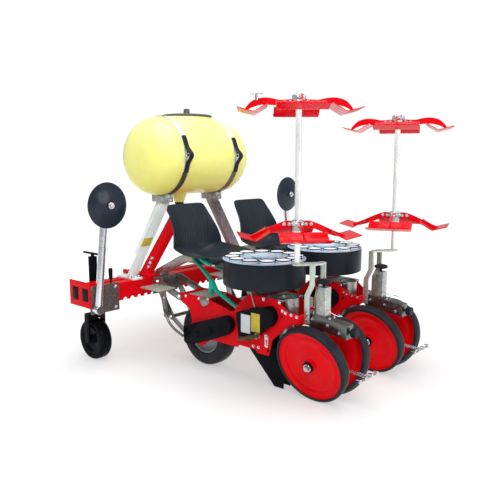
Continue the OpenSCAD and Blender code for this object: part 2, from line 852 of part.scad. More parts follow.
module tank_legs() color(ZINC) placed() {
    both_sides() {
        slab([leg_foot_x - leg_w / 2, leg_foot_x + leg_w / 2], [beam_y, beam_front], [beam_top, beam_top + hitch_t]);
        difference() {
            plate_y_at([beam_mid - leg_d / 2, beam_mid + leg_d / 2])
                leaning(leg_foot_x, strap_x, leg_w, [beam_top, saddle_z]);
            plate_y_at([beam_mid - leg_d / 2 + leg_t, beam_mid + leg_d / 2 + over])
                leaning(leg_foot_x, strap_x, leg_w - 2 * leg_t, [beam_top + hitch_t, saddle_z]);
        }
        difference() {
            slab([strap_x - saddle_w / 2, strap_x + saddle_w / 2],
                [tank_y - saddle_len / 2, tank_y + saddle_len / 2], [saddle_z, saddle_top]);
            rod_x(tank_r + strap_t, [strap_x - saddle_w, strap_x + saddle_w], tank_y, tank_z);
        }
    }
}

seat_back_y = seat_y + seat_len;
seat_top = seat_z + seat_back_h;
// side outline of the seat shell: pan, then back
seat_line = [[seat_y, seat_z], [seat_back_y, seat_z], [seat_back_y + seat_rake, seat_top],
    [seat_back_y + seat_rake - seat_t, seat_top], [seat_back_y - seat_t, seat_z + seat_t],
    [seat_y, seat_z + seat_t]];
seat_side = [[seat_y, seat_z], [seat_back_y, seat_z], [seat_back_y + seat_rake, seat_top],
    [seat_back_y + seat_rake - bolster_h / 2, seat_top - bolster_h / 2],
    [seat_back_y - bolster_h, seat_z + seat_t + bolster_h], [seat_y + bolster_h * 2, seat_z + bolster_h],
    [seat_y, seat_z + seat_t]];

// seat seen from behind: straight sides, then a narrower top with round corners
module seat_front() {
    waist = seat_z + seat_t + bolster_h;
    top_x = seat_w / 2 - seat_taper;
    polygon([[-seat_w / 2, seat_z], [seat_w / 2, seat_z], [seat_w / 2, waist], [top_x, seat_top - seat_round],
        [-top_x, seat_top - seat_round], [-seat_w / 2, waist]]);
    for (side = SIDES) translate([side * (top_x - seat_round), seat_top - seat_round]) circle(seat_round);
    translate([seat_round - top_x, seat_top - 2 * seat_round]) square([2 * (top_x - seat_round), 2 * seat_round]);
}

// seat pan seen from above, with round corners at its rear
module seat_plan() {
    for (side = SIDES) translate([side * (seat_w / 2 - seat_round), seat_y + seat_round]) circle(seat_round);
    translate([seat_round - seat_w / 2, seat_y]) square([seat_w - 2 * seat_round, seat_len]);
    translate([-seat_w / 2, seat_y + seat_round]) square([seat_w, seat_len + seat_rake]);
}

module seats() color(BLACK) placed() {
    at_units() intersection() {
        union() {
            plate_x_at([-seat_w / 2, seat_w / 2]) polygon(seat_line);
            for (x = [-seat_w / 2, seat_w / 2 - bolster_t])
                plate_x_at([x, x + bolster_t]) polygon(seat_side);
        }
        plate_y_at([seat_y - over, seat_back_y + seat_rake + over]) seat_front();
        translate([0, 0, seat_z - over]) linear_extrude(seat_back_h + 2 * over) seat_plan();
    }
}

// gap between a seat support and the hitch leg in front of it
support_gap = 4;
support_front = beam_mid - hitch_leg_d / 2 - support_gap;

module seat_supports() color(ZINC) placed() {
    at_units() plate_x_at([-support_w / 2, support_w / 2]) polygon([
        [support_front, beam_top], [support_front, beam_top + support_h], [seat_back_y + seat_rake, seat_z],
        [seat_y + seat_len / 3, seat_z], [seat_y + seat_len / 3, seat_z - support_h],
        [seat_back_y + seat_rake - support_h, seat_z - support_h], [beam_y, beam_top + support_h / 2],
        [beam_y, beam_top]]);
}

function plate_point(share) = [plate_y + share.x * plate_len, plate_z + share.y * plate_h];
function axle_point(share) = [drive_y + share.x * plate_h, plate_z + share.y * plate_h];
plate_line = concat([for (s = plate_shares) plate_point(s)], [for (s = axle_shares) axle_point(s)],
    [for (s = nose_shares) plate_point(s)]);
// places of the upper cross tubes, as shares of the side plate
tube_shares = [[.955, .69], [.40, .62]];
// height of the lower cross tube and its distance from the opener, as shares of the plate's height and the tube
low_tube_share = 0.25;
low_tube_gap_share = 0.8;
opener_y = press_y + press_r + opener_gap;
cross_places = concat([for (s = tube_shares) plate_point(s)],
    [[opener_y + opener_len + cross_d * low_tube_gap_share, plate_z + low_tube_share * plate_h]]);
plate_top = plate_z + plate_h;
// height of the side plates' front edge and its rear tip, as shares of the plate's height
cover_share = 0.75;
tail_shares = [0.66, 0.81];
tail_low = plate_z + tail_shares[0] * plate_h;
tail_high = plate_z + tail_shares[1] * plate_h;
arm_front_y = plate_y + sheet_t;

module unit_frames() color(RED) placed() {
    at_units() difference() {
        union() {
            for (x = [-plate_out, plate_x])
                plate_x_at([x, x + plate_t]) polygon(plate_line);
            for (p = cross_places) rod_x(cross_d / 2, [-plate_x, plate_x], p.x, p.y);
            slab([-plate_x, plate_x], [arm_front_y, arm_front_y + sheet_t], [tail_low, tail_high]);
            slab([-plate_x, plate_x], [carousel_y - boss_d, plate_point([.364, 1]).x],
                [plate_top - sheet_t, plate_top]);
        }
        rod_x(drive_axle_d / 2, [-plate_out - over, plate_out + over], drive_y, drive_r);
    }
}

module drive_axles() color(ZINC) placed() {
    at_units() rod_x(drive_axle_d / 2, [-plate_out, plate_out], drive_y, drive_r);
}

// chain case places as shares of the side plate: lower case's rear end and upper case's centre
case_low_share = [.53, .235];
case_top_share = [.275, .47];
case_heel_share = [.46, .12];

module chain_cases() color(BLACK) placed() {
    at_units() {
        plate_x_at([-plate_out - case_t, -plate_out]) {
            strip([drive_y, drive_r], plate_point(case_low_share), case_r);
        }
        plate_x_at([-plate_out - case_t, -plate_out]) {
            translate(plate_point(case_top_share)) circle(case_top_r);
            top = plate_point(case_top_share);
            heel = plate_point(case_heel_share);
            polygon([[top.x, top.y + case_top_r], [heel.x, top.y + case_top_r], heel, [top.x, heel.y]]);
        }
    }
}

module openers() color(BLACK) placed() {
    h = opener_top - opener_z;
    at_units() {
        difference() {
            plate_x_at([-opener_x, opener_x])
                polygon([for (s = opener_shares) [opener_y + s.x * opener_len, opener_z + s.y * h]]);
            slab([-opener_x + opener_t, opener_x - opener_t], [opener_y - over, opener_y + opener_len / 3],
                [opener_z - over, opener_top + over]);
        }
        for (x = [[-plate_x, -opener_x], [opener_x, plate_x]])
            rod_x(cross_d / 3, x, opener_y + opener_len * 0.6, opener_top - cross_d);
    }
}

funnel_y = carousel_y - cup_pitch;

module drop_funnels() color(ZINC) placed() {
    at_units() difference() {
        union() {
            rod_z(funnel_r, 0, funnel_y, [opener_top, plate_top]);
            slab([-plate_x, plate_x], [funnel_y - funnel_r / 2, carousel_y - boss_d], [plate_top - sheet_t, plate_top]);
        }
        rod_z(funnel_r - funnel_t, 0, funnel_y, [opener_top - over, plate_top + over]);
        slab([-plate_x, plate_x], [carousel_y - boss_d, carousel_y], [opener_top - over, plate_top + over]);
    }
}

shaft_r = shaft_d / 2;
hub_gap = 1;

module carousel_posts() color(ZINC) placed() {
    at_units() {
        rod_z(boss_d / 2, 0, carousel_y, [plate_top, drum_z - hub_gap]);
        rod_z(shaft_r, 0, carousel_y, [plate_top, carousel_top_z]);
    }
}

// the cups' round cuts, from a height upwards
module cup_cuts(z, rise) {
    for (i = [0 : cup_n - 1])
        rotate([0, 0, (i + 0.5) * 360 / cup_n]) rod_z(cup_d / 2, cup_pitch, 0, [z, z + rise]);
}

module carousel_drum(side) color(BLACK) placed() {
    translate([side * unit_x, carousel_y, 0]) difference() {
        rod_z(carousel_d / 2, 0, 0, [drum_z, carousel_top_z]);
        cup_cuts(carousel_top_z - cup_depth, cup_depth + over);
        rod_z(shaft_r + run_fit, 0, 0, [drum_z - over, carousel_top_z + over]);
    }
}

module carousel_top(side) color(ZINC) placed() {
    translate([side * unit_x, carousel_y, 0]) difference() {
        union() {
            rod_z(carousel_d / 2, 0, 0, [carousel_top_z, carousel_top_z + top_t]);
            rod_z(mid_d / 2, 0, 0, [carousel_top_z, carousel_top_z + top_t + mid_h]);
        }
        cup_cuts(carousel_top_z - over, top_t + 2 * over);
        rod_z(shaft_r + run_fit, 0, 0, [carousel_top_z - over, carousel_top_z + over]);
    }
}

module carousel_drum_left() carousel_drum(LEFT);
module carousel_drum_right() carousel_drum(RIGHT);
module carousel_top_left() carousel_top(LEFT);
module carousel_top_right() carousel_top(RIGHT);

module drive_tyre(side) color(BLACK) placed() {
    half = drive_w / 2;
    seat = rim_d / 2;
    translate([side * unit_x, drive_y, drive_r]) turned_x() polygon([[-rim_w / 2, seat], [rim_w / 2, seat],
        [half, seat + rim_t * 4], [half, drive_r - rim_t * 4], [half - rim_t * 2, drive_r - rim_t], [0, drive_r],
        [rim_t * 2 - half, drive_r - rim_t], [-half, drive_r - rim_t * 4], [-half, seat + rim_t * 4]]);
}

module drive_rim(side) color(ZINC) placed() {
    translate([side * unit_x, drive_y, drive_r]) difference() {
        union() {
            difference() {
                rod_x(rim_d / 2, [-rim_w / 2, rim_w / 2], 0, 0);
                rod_x(rim_d / 2 - rim_t, [-rim_w, rim_w], 0, 0);
            }
            rod_x(rim_d / 2, [-rim_t / 2, rim_t / 2], 0, 0);
            rod_x(drive_hub_d / 2, [-drive_hub_len / 2, drive_hub_len / 2], 0, 0);
        }
        rod_x(drive_axle_d / 2 + run_fit, [-drive_hub_len, drive_hub_len], 0, 0);
    }
}

module drive_tyre_left() drive_tyre(LEFT);
module drive_tyre_right() drive_tyre(RIGHT);
module drive_rim_left() drive_rim(LEFT);
module drive_rim_right() drive_rim(RIGHT);

// places a press wheel: the unit's side, then the wheel's side of its row
module at_press(unit, side) {
    translate([unit * unit_x + press_shift, 0, 0]) on_side(side) translate([press_x, press_y, press_z]) rotate([0, camber, 0]) children();
}

stub_r = stub_d / 2;
stub_in = -press_hub_len / 2 - hub_gap;
stub_out = press_hub_len / 2 + hub_gap;

module press_tyre(unit, side) color(BLACK) placed() at_press(unit, side) turned_x() polygon(press_section);

// section of the dished web: place along the axle and radius
web_section = [[-press_disc_t / 2, press_in_r - press_disc_t / 2], [press_disc_t / 2, press_in_r - press_disc_t / 2],
    [press_disc_t / 2 + press_dish, press_hub_d], [press_disc_t / 2 + press_dish, stub_r],
    [-press_disc_t / 2 + press_dish, stub_r], [-press_disc_t / 2 + press_dish, press_hub_d]];

module press_disc(unit, side) color(RED) placed() at_press(unit, side) difference() {
    union() {
        difference() {
            rod_x(press_in_r, [-press_rim_w / 2, press_rim_w / 2], 0, 0);
            rod_x(press_in_r - press_disc_t, [-press_rim_w, press_rim_w], 0, 0);
        }
        turned_x() polygon(web_section);
        rod_x(press_hub_d / 2, [-press_hub_len / 2, press_hub_len / 2], 0, 0);
    }
    rod_x(stub_r + run_fit, [-press_hub_len, press_hub_len], 0, 0);
}

module press_tyre_1() press_tyre(LEFT, LEFT);
module press_tyre_2() press_tyre(LEFT, RIGHT);
module press_tyre_3() press_tyre(RIGHT, LEFT);
module press_tyre_4() press_tyre(RIGHT, RIGHT);
module press_disc_1() press_disc(LEFT, LEFT);
module press_disc_2() press_disc(LEFT, RIGHT);
module press_disc_3() press_disc(RIGHT, LEFT);
module press_disc_4() press_disc(RIGHT, RIGHT);

module press_arms() color(ZINC) placed() {
    for (unit = SIDES) {
        translate([unit * unit_x, 0, 0]) {
            plate_x_at([-arm_w / 2, arm_w / 2]) polygon([[arm_front_y, arm_z], [arm_front_y, arm_z - arm_h],
                [-arm_rear, arm_z - arm_h - arm_drop], [-arm_rear, arm_z - arm_drop]]);
            slab([-depth_w / 2, depth_w / 2], [depth_y - depth_w / 2, depth_y + depth_w / 2],
                [arm_z - arm_h, depth_top]);
            slab([-press_leg_t / 2, press_shift + press_leg_t / 2], [press_y - press_leg_w / 2, press_y + press_leg_w / 2],
                [press_leg_z, arm_z - arm_h]);
        }
        for (side = SIDES) at_press(unit, side) {
            rod_x(stub_r * 1.5, [-press_x, stub_in], 0, 0);
            rod_x(stub_r, [-press_x, stub_out], 0, 0);
            rod_x(stub_r * 1.5, [stub_out, stub_out + stub_r], 0, 0);
        }
    }
}

knob_stem = 16;
end_knob_z = arm_z - arm_h / 2 - arm_drop;

// share of a knob's height and radius in its sloped edges
knob_edge_share = 0.3;

// round knob along Z with sloped edges
module round_knob(d) {
    edge = depth_knob_h * knob_edge_share;
    small = d / 2 - edge;
    cylinder(r1 = small, r2 = d / 2, h = edge);
    translate([0, 0, edge]) cylinder(r = d / 2, h = depth_knob_h - 2 * edge);
    translate([0, 0, depth_knob_h - edge]) cylinder(r1 = d / 2, r2 = small, h = edge);
}

module depth_knobs() color(BLACK) placed() {
    at_units() {
        translate([0, depth_y, depth_top]) {
            cylinder(r = knob_stem / 2, h = knob_stem);
            translate([0, 0, knob_stem]) round_knob(depth_knob_d);
        }
        translate([0, -arm_rear, end_knob_z]) rotate([90, 0, 0]) {
            cylinder(r = knob_stem / 2, h = knob_stem);
            translate([0, 0, knob_stem]) round_knob(end_knob_d);
        }
    }
}

module scrapers() color(ZINC) placed() {
    at_units() {
        slab([press_shift - press_leg_t / 2, press_shift + press_leg_t / 2], [-scraper_y, press_y - press_leg_w / 2],
            [scraper_z, scraper_z + sheet_t]);
        slab([press_shift - scraper_w / 2, press_shift + scraper_w / 2], [-scraper_y - sheet_t, -scraper_y],
            [scraper_z - sheet_t * 2, scraper_z + sheet_t * 2]);
    }
}

flat_mid = (tail_high + stand_z) / 2;
bracket_top_y = arm_front_y - flat_jog - flat_w / 2;

module stand_brackets() color(ZINC) placed() {
    for (s = STANDS) {
        translate([s[stand_side] * unit_x, 0, 0]) {
            for (x = [-flat_x - flat_t, flat_x])
                plate_x_at([x, x + flat_t]) polygon([[arm_front_y, tail_low], [arm_front_y, flat_mid - flat_jog],
                    [arm_front_y - flat_jog, flat_mid + flat_jog], [arm_front_y - flat_jog, stand_z],
                    [arm_front_y - flat_jog - flat_w, stand_z], [arm_front_y - flat_jog - flat_w, flat_mid + flat_jog],
                    [arm_front_y - flat_w, flat_mid - flat_jog], [arm_front_y - flat_w, tail_low]]);
            slab([-top_bar_w, top_bar_w], [bracket_top_y - flat_w / 2, bracket_top_y + flat_w / 2],
                [stand_z, stand_z + top_bar_t]);
        }
        translate([0, 0, stand_z]) linear_extrude(top_bar_t)
            strip([s[stand_side] * unit_x, bracket_top_y], [s[stand_px], s[stand_py]], top_bar_w / 2);
    }
}

post_r = post_d / 2;
// how far a post stands out of its upper tier
post_end = 8;

module stand_posts() color(ZINC) placed() {
    for (s = STANDS) {
        rod_z(post_r, s[stand_px], s[stand_py], [stand_z + top_bar_t, s[stand_high] + tier_hub_h / 2 + post_end]);
        for (z = [s[stand_low], s[stand_high]])
            rod_z(tier_hub_d / 2, s[stand_px], s[stand_py],
                [z - tier_hub_h / 2 - hub_gap - sheet_t, z - tier_hub_h / 2 - hub_gap]);
    }
}

// one arm of a tier: out of the hub, over a crest and down to the tray
module tier_arm() {
    translate([0, tier_arm_w / 2, 0]) rotate([90, 0, 0]) linear_extrude(tier_arm_w)
        polygon([for (p = arm_shares) [p.x * tray_reach, p.y * tray_drop]]);
}

// share of a tray's width from its inner edge to its lowest line
tray_fold_share = 0.45;

// one tray: a folded sheet, low along its middle
module tray() {
    fold = tray_reach - tray_w + tray_w * tray_fold_share;
    translate([0, tray_len / 2, -tray_drop]) rotate([90, 0, 0]) linear_extrude(tray_len)
        polygon([[tray_reach - tray_w, tray_rise_in], [fold, 0], [tray_reach, tray_rise_out],
            [tray_reach, tray_rise_out + tray_t], [fold, tray_t], [tray_reach - tray_w, tray_rise_in + tray_t]]);
}

module tray_tier(stand, tier) color(RED) placed() {
    s = STANDS[stand];
    turn = s[stand_turns][tier - stand_low];
    translate([s[stand_px], s[stand_py], s[tier]]) difference() {
        union() {
            rod_z(tier_hub_d / 2, 0, 0, [-tier_hub_h / 2, tier_hub_h / 2]);
            for (i = [0 : tray_n - 1]) rotate([0, 0, turn + i * 360 / tray_n]) {
                tier_arm();
                tray();
            }
        }
        rod_z(post_r + run_fit, 0, 0, [-tier_hub_h, tier_hub_h]);
    }
}

module tray_tier_1() tray_tier(0, stand_low);
module tray_tier_2() tray_tier(0, stand_high);
module tray_tier_3() tray_tier(1, stand_low);
module tray_tier_4() tray_tier(1, stand_high);

link_h = 50;
link_t = 8;

// lower lever's hung end and lower link's front end, as shares of the side plate's height from the drive axle
lever_share = [.765, .24];
// lever's hung end ahead of the side plate's rear edge, as a share of the plate's length
lever_ahead_share = 1.04;
lever_low = [max(axle_point(lever_share).x, plate_point([lever_ahead_share, 0]).x), axle_point(lever_share).y];
link_share = [.341, -.02];

// lever hung from the toolbar, with its long hole
module lever() {
    top = [beam_y - link_h, beam_z + link_h / 2];
    low = lever_low;
    difference() {
        union() {
            strip(low, top, link_h / 2);
            translate([beam_y - link_h, beam_z]) square([link_h, link_h]);
        }
        strip(low * 0.55 + top * 0.45, low * 0.35 + top * 0.65, link_h / 5);
    }
}

module unit_clamps() color(ZINC) placed() {
    tip = plate_point([.95, .69]);
    at_units() {
        slab([-plate_out - link_t, plate_out + link_t], [beam_y - sheet_t, beam_y], [beam_z - rack_h, beam_top]);
        for (x = [-plate_out - link_t, plate_out])
            plate_x_at([x, x + link_t]) union() {
                strip(tip, [beam_y - link_h, beam_top - link_h / 2], link_h / 2);
                translate([beam_y - link_h, beam_top - link_h]) square([link_h, link_h]);
            }
        for (x = [-plate_x, plate_x - link_t])
            plate_x_at([x, x + link_t]) {
                lever();
                strip(lever_low, axle_point(link_share), link_h / 3);
            }
        rod_x(link_h / 4, [-plate_x, plate_x], lever_low.x, lever_low.y);
    }
}

foot_w = 150;
foot_len = 200;
// place of the cover plate over the drive wheel, as shares of the side plate's length
cover_shares = [.72, .90];

module foot_plates() color(ZINC) placed() {
    at_units() {
        slab([-plate_x, plate_x], [plate_point([cover_shares[0], 0]).x, plate_point([cover_shares[1], 0]).x],
            [plate_point([0, cover_share]).y - sheet_t, plate_point([0, cover_share]).y]);
        slab([-plate_out - link_t - foot_w, -plate_out - link_t], [beam_y - foot_len - link_h, beam_y - link_h],
            [beam_top - link_h, beam_top - link_h + sheet_t]);
    }
}

hose_r = hose_d / 2;
// swelling of a hose at its bends
bend_swell = 0.25;

module water_hoses() color(GREEN) placed() {
    at_units() {
        side_x = -support_w / 2 - hose_r;
        low_x = -plate_out - hose_r;
        path = [[side_x, seat_back_y, seat_z - support_h / 2], [side_x, seat_y + seat_len / 2, seat_z - support_h / 2],
            [low_x, plate_point([.55, 0]).x, plate_top], [low_x, plate_point([.40, 0]).x, plate_point([0, .75]).y]];
        for (i = [0 : len(path) - 2]) {
            d = path[i + 1] - path[i];
            translate(path[i]) rotate([0, acos(d.z / norm(d)), atan2(d.y, d.x)]) cylinder(r = hose_r, h = norm(d));
        }
        for (i = [1 : len(path) - 2]) translate(path[i]) sphere(hose_r + bend_swell);
    }
}

toolbar_beam();
end_brackets();
end_plugs();
hitch_frame();
tank_legs();
tank();
tank_straps();
strap_tensioners();
tank_outlet();
gauge_legs();
seat_supports();
seats();
foot_plates();
unit_clamps();
unit_frames();
chain_cases();
drive_axles();
openers();
drop_funnels();
carousel_posts();
press_arms();
depth_knobs();
scrapers();
stand_brackets();
stand_posts();
water_hoses();
gauge_wheel_left();
gauge_wheel_right();
drive_tyre_left();
drive_tyre_right();
drive_rim_left();
drive_rim_right();
press_tyre_1();
press_tyre_2();
press_tyre_3();
press_tyre_4();
press_disc_1();
press_disc_2();
press_disc_3();
press_disc_4();
carousel_drum_left();
carousel_drum_right();
carousel_top_left();
carousel_top_right();
tray_tier_1();
tray_tier_2();
tray_tier_3();
tray_tier_4();
marker_arm_left();
marker_arm_right();
marker_disc_left();
marker_disc_right();
tank_lid();
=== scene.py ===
# %% [markdown]
# # A vegetable transplanter, dressed
# The machine is a toolbar with two planting units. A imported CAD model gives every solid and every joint, and this
# lesson dresses it: rounded edges, turned wheels, moulded seats, fasteners and finishes. Every piece is built in the
# same frame as the solids and rides one of their bodies, so it moves when the joint moves.

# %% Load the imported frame
import json
import math

import bmesh
import bpy
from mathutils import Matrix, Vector


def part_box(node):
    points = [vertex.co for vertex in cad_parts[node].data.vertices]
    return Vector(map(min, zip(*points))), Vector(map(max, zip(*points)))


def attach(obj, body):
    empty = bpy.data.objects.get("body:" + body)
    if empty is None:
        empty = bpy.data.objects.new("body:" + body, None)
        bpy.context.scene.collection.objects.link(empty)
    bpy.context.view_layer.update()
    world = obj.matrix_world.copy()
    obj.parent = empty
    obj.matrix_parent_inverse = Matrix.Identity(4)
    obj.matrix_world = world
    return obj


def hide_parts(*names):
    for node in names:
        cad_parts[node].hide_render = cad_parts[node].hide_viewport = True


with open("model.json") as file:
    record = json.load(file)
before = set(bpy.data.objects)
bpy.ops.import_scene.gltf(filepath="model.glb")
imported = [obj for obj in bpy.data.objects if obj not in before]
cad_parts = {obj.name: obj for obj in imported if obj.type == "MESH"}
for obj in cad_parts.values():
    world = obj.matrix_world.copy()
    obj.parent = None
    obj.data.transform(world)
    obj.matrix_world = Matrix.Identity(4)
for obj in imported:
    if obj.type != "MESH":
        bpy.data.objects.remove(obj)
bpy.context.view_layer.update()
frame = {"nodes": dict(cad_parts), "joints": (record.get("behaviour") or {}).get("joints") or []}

# %% [markdown]
# ## A ruler for the whole lesson
# All places are given from two lines of the real machine: the middle of the tractor hitch (x = 0) and a line across the
# rear, 980 mm behind the drive wheels (y = 0). Both are read from the joints, so the scene follows the solids.

# %% Places on the machine
JOINTS = {j["name"]: j for j in frame["joints"]}
HITCH_X = (JOINTS["drive_left_spin"]["pos_m"][0] + JOINTS["drive_right_spin"]["pos_m"][0]) / 2
REAR_Y = JOINTS["drive_left_spin"]["pos_m"][1] - 0.980
UNITS = {side: JOINTS[f"drive_{side}_spin"]["pos_m"][0] - HITCH_X for side in ("left", "right")}
HAND = {"left": -1, "right": 1}
RIGHT, AHEAD, UP = Vector((1, 0, 0)), Vector((0, 1, 0)), Vector((0, 0, 1))
LEFT, BACKWARD = -RIGHT, -AHEAD
SQUARE = (RIGHT, AHEAD, UP)


def spot(x, y, z):
    """Place on the machine, in metres from the hitch line, the rear line and the ground."""
    return Vector((HITCH_X + x, REAR_Y + y, z))


def joint_spot(name):
    return Vector(JOINTS[name]["pos_m"])


def joint_line(name):
    return Vector(JOINTS[name]["axis"]).normalized()


print("hitch line", round(HITCH_X, 4), "rear line", round(REAR_Y, 4), "units", UNITS)

# %% [markdown]
# ## Camera, floor and light
# The photograph was taken from behind and left of the machine, a little above the wheels. A camera is four facts: where
# it stands, how far it is turned, how far it looks down and how long its lens is. The floor is one large pale plane,
# and the light is a wide soft lamp on the camera's left, two weaker ones and a bright surrounding, as in a studio. The
# surrounding is white to the camera and dimmer as a light, and the floor glows a little, so that only soft shadows mark
# the floor.

# %% Camera
IMAGE_SIDE = 500
FOCAL_PIXELS = 582.3
SENSOR = 36.0
CAMERA_SPOT = (-3.072, -1.833, 1.390)
CAMERA_TURN = math.radians(-48.42)
CAMERA_DIP = math.radians(8.49)

camera_data = bpy.data.cameras.new("photo_camera")
camera_data.sensor_width = SENSOR
camera_data.lens = FOCAL_PIXELS / IMAGE_SIDE * SENSOR
camera = bpy.data.objects.new("photo_camera", camera_data)
look = Vector((-math.sin(CAMERA_TURN) * math.cos(CAMERA_DIP), math.cos(CAMERA_TURN) * math.cos(CAMERA_DIP),
               -math.sin(CAMERA_DIP)))
camera.location = spot(*CAMERA_SPOT)
camera.rotation_euler = look.to_track_quat("-Z", "Y").to_euler()
bpy.context.scene.collection.objects.link(camera)
bpy.context.scene.camera = camera
print("lens", round(camera_data.lens, 2), "mm")


# %% Light
def soft_lamp(name, place, aim, side, power, tint=(1, 1, 1)):
    data = bpy.data.lights.new(name, "AREA")
    data.shape = "DISK"
    data.size = side
    data.energy = power
    data.color = tint
    lamp = bpy.data.objects.new(name, data)
    lamp.location = spot(*place)
    lamp.rotation_euler = (spot(*aim) - lamp.location).to_track_quat("-Z", "Y").to_euler()
    bpy.context.scene.collection.objects.link(lamp)
    return lamp


MACHINE_MIDDLE = (0, 0.75, 0.6)
soft_lamp("key", (-3.4, -2.6, 4.6), MACHINE_MIDDLE, 3.4, 150)
soft_lamp("fill", (1.6, -4.2, 2.2), MACHINE_MIDDLE, 2.4, 60)
soft_lamp("top", (-0.2, 0.6, 5.2), MACHINE_MIDDLE, 4.4, 200)

BACKDROP, SURROUND = 1.0, 0.42
world = bpy.data.worlds.new("studio")
world.use_nodes = True
tree = world.node_tree
wall = tree.nodes["Background"]
wall.inputs["Color"].default_value = (1, 1, 1, 1)
wall.inputs["Strength"].default_value = BACKDROP
room = tree.nodes.new("ShaderNodeBackground")
room.inputs["Color"].default_value = (0.94, 0.97, 1.0, 1)
room.inputs["Strength"].default_value = SURROUND
choice = tree.nodes.new("ShaderNodeMixShader")
tree.links.new(tree.nodes.new("ShaderNodeLightPath").outputs["Is Camera Ray"], choice.inputs["Fac"])
tree.links.new(room.outputs[0], choice.inputs[1])
tree.links.new(wall.outputs[0], choice.inputs[2])
tree.links.new(choice.outputs[0], tree.nodes["World Output"].inputs["Surface"])
bpy.context.scene.world = world
bpy.context.scene.view_settings.view_transform = "Standard"

# %% [markdown]
# ## Shared effects
# Real finishes are never one flat colour. Sheet zinc has crystal patches, paint has slow changes of tone, plastic has a
# fine moulded grain and everything near the ground picks up dust. Each effect is a shader node group made once, and
# each material places the groups with its own values.

# %% Node helpers
FLOAT, COLOUR, VECTOR = "NodeSocketFloat", "NodeSocketColor", "NodeSocketVector"
FIRST, SECOND, MIXED = 6, 7, 2


def give(node, values):
    """Start values for a node's inputs."""
    for key, value in dict(values).items():
        node.inputs[key].default_value = value
    return node


def add_node(tree, kind, inputs=(), **settings):
    node = tree.nodes.new(kind)
    for key, value in settings.items():
        setattr(node, key, value)
    return give(node, inputs)


def wire(tree, *rows):
    """Links sockets, in rows of (node, its output, node, its input)."""
    for source, output, target, entry in rows:
        tree.links.new(source.outputs[output], target.inputs[entry])


def colour_mix(tree, first=None, second=None, **settings):
    """Mix of two colours. Its colour sockets go by number, because a mix node has several of the same name."""
    mix = add_node(tree, "ShaderNodeMix", data_type="RGBA", **settings)
    return give(mix, {key: (*tone, 1) for key, tone in ((FIRST, first), (SECOND, second)) if tone})


def new_group(name, inputs, outputs):
    """Empty shader group with a place and other inputs, (name, kind, start value)."""
    tree = bpy.data.node_groups.new(name, "ShaderNodeTree")
    for label, kind, start in [("Vector", VECTOR, (0, 0, 0))] + inputs:
        socket = tree.interface.new_socket(label, in_out="INPUT", socket_type=kind)
        socket.default_value = start
    for label, kind in outputs:
        tree.interface.new_socket(label, in_out="OUTPUT", socket_type=kind)
    return tree, tree.nodes.new("NodeGroupInput"), tree.nodes.new("NodeGroupOutput")


print("node helpers ready")


# %% Cloudy tone, crystal patches, grain and dust
def make_cloudy():
    tree, gin, gout = new_group("cloudy_tone", [("Colour", COLOUR, (1, 1, 1, 1)), ("Second", COLOUR, (0, 0, 0, 1)),
                                                ("Scale", FLOAT, 6.0), ("Low", FLOAT, 0.35), ("High", FLOAT, 0.75)],
                                [("Colour", COLOUR), ("Mask", FLOAT)])
    noise = add_node(tree, "ShaderNodeTexNoise", {"Detail": 6.0, "Roughness": 0.6})
    spread = add_node(tree, "ShaderNodeMapRange")
    mix = colour_mix(tree)
    wire(tree, (gin, "Vector", noise, "Vector"), (gin, "Scale", noise, "Scale"), (noise, "Fac", spread, "Value"),
         (gin, "Low", spread, "From Min"), (gin, "High", spread, "From Max"), (spread, "Result", mix, "Factor"),
         (gin, "Colour", mix, FIRST), (gin, "Second", mix, SECOND), (mix, MIXED, gout, "Colour"),
         (spread, "Result", gout, "Mask"))
    return tree


def make_crystal():
    tree, gin, gout = new_group("crystal_patches", [("Scale", FLOAT, 60.0)], [("Value", FLOAT)])
    cells = add_node(tree, "ShaderNodeTexVoronoi")
    grey = add_node(tree, "ShaderNodeSeparateColor")
    wire(tree, (gin, "Vector", cells, "Vector"), (gin, "Scale", cells, "Scale"), (cells, "Color", grey, "Color"),
         (grey, "Red", gout, "Value"))
    return tree


def make_grain():
    tree, gin, gout = new_group("moulded_grain", [("Scale", FLOAT, 500.0)], [("Height", FLOAT)])
    noise = add_node(tree, "ShaderNodeTexNoise", {"Detail": 3.0})
    wire(tree, (gin, "Vector", noise, "Vector"), (gin, "Scale", noise, "Scale"), (noise, "Fac", gout, "Height"))
    return tree


def make_dust():
    tree, gin, gout = new_group("ground_dust", [("Colour", COLOUR, (0, 0, 0, 1)),
                                                ("Dust", COLOUR, (0.35, 0.30, 0.24, 1)), ("Height", FLOAT, 0.3),
                                                ("Amount", FLOAT, 0.3)], [("Colour", COLOUR), ("Mask", FLOAT)])
    split = add_node(tree, "ShaderNodeSeparateXYZ")
    fall = add_node(tree, "ShaderNodeMapRange", {"From Min": 0.0, "To Min": 1.0, "To Max": 0.0})
    noise = add_node(tree, "ShaderNodeTexNoise", {"Scale": 14.0, "Detail": 8.0, "Roughness": 0.65})
    spread = add_node(tree, "ShaderNodeMapRange", {"From Min": 0.42, "From Max": 0.72})
    both = add_node(tree, "ShaderNodeMath", operation="MULTIPLY")
    share = add_node(tree, "ShaderNodeMath", operation="MULTIPLY")
    mix = colour_mix(tree)
    wire(tree, (gin, "Vector", split, "Vector"), (gin, "Vector", noise, "Vector"), (split, "Z", fall, "Value"),
         (gin, "Height", fall, "From Max"), (noise, "Fac", spread, "Value"), (fall, "Result", both, 0),
         (spread, "Result", both, 1), (both, 0, share, 0), (gin, "Amount", share, 1), (share, 0, mix, "Factor"),
         (gin, "Colour", mix, FIRST), (gin, "Dust", mix, SECOND), (mix, MIXED, gout, "Colour"),
         (share, 0, gout, "Mask"))
    return tree


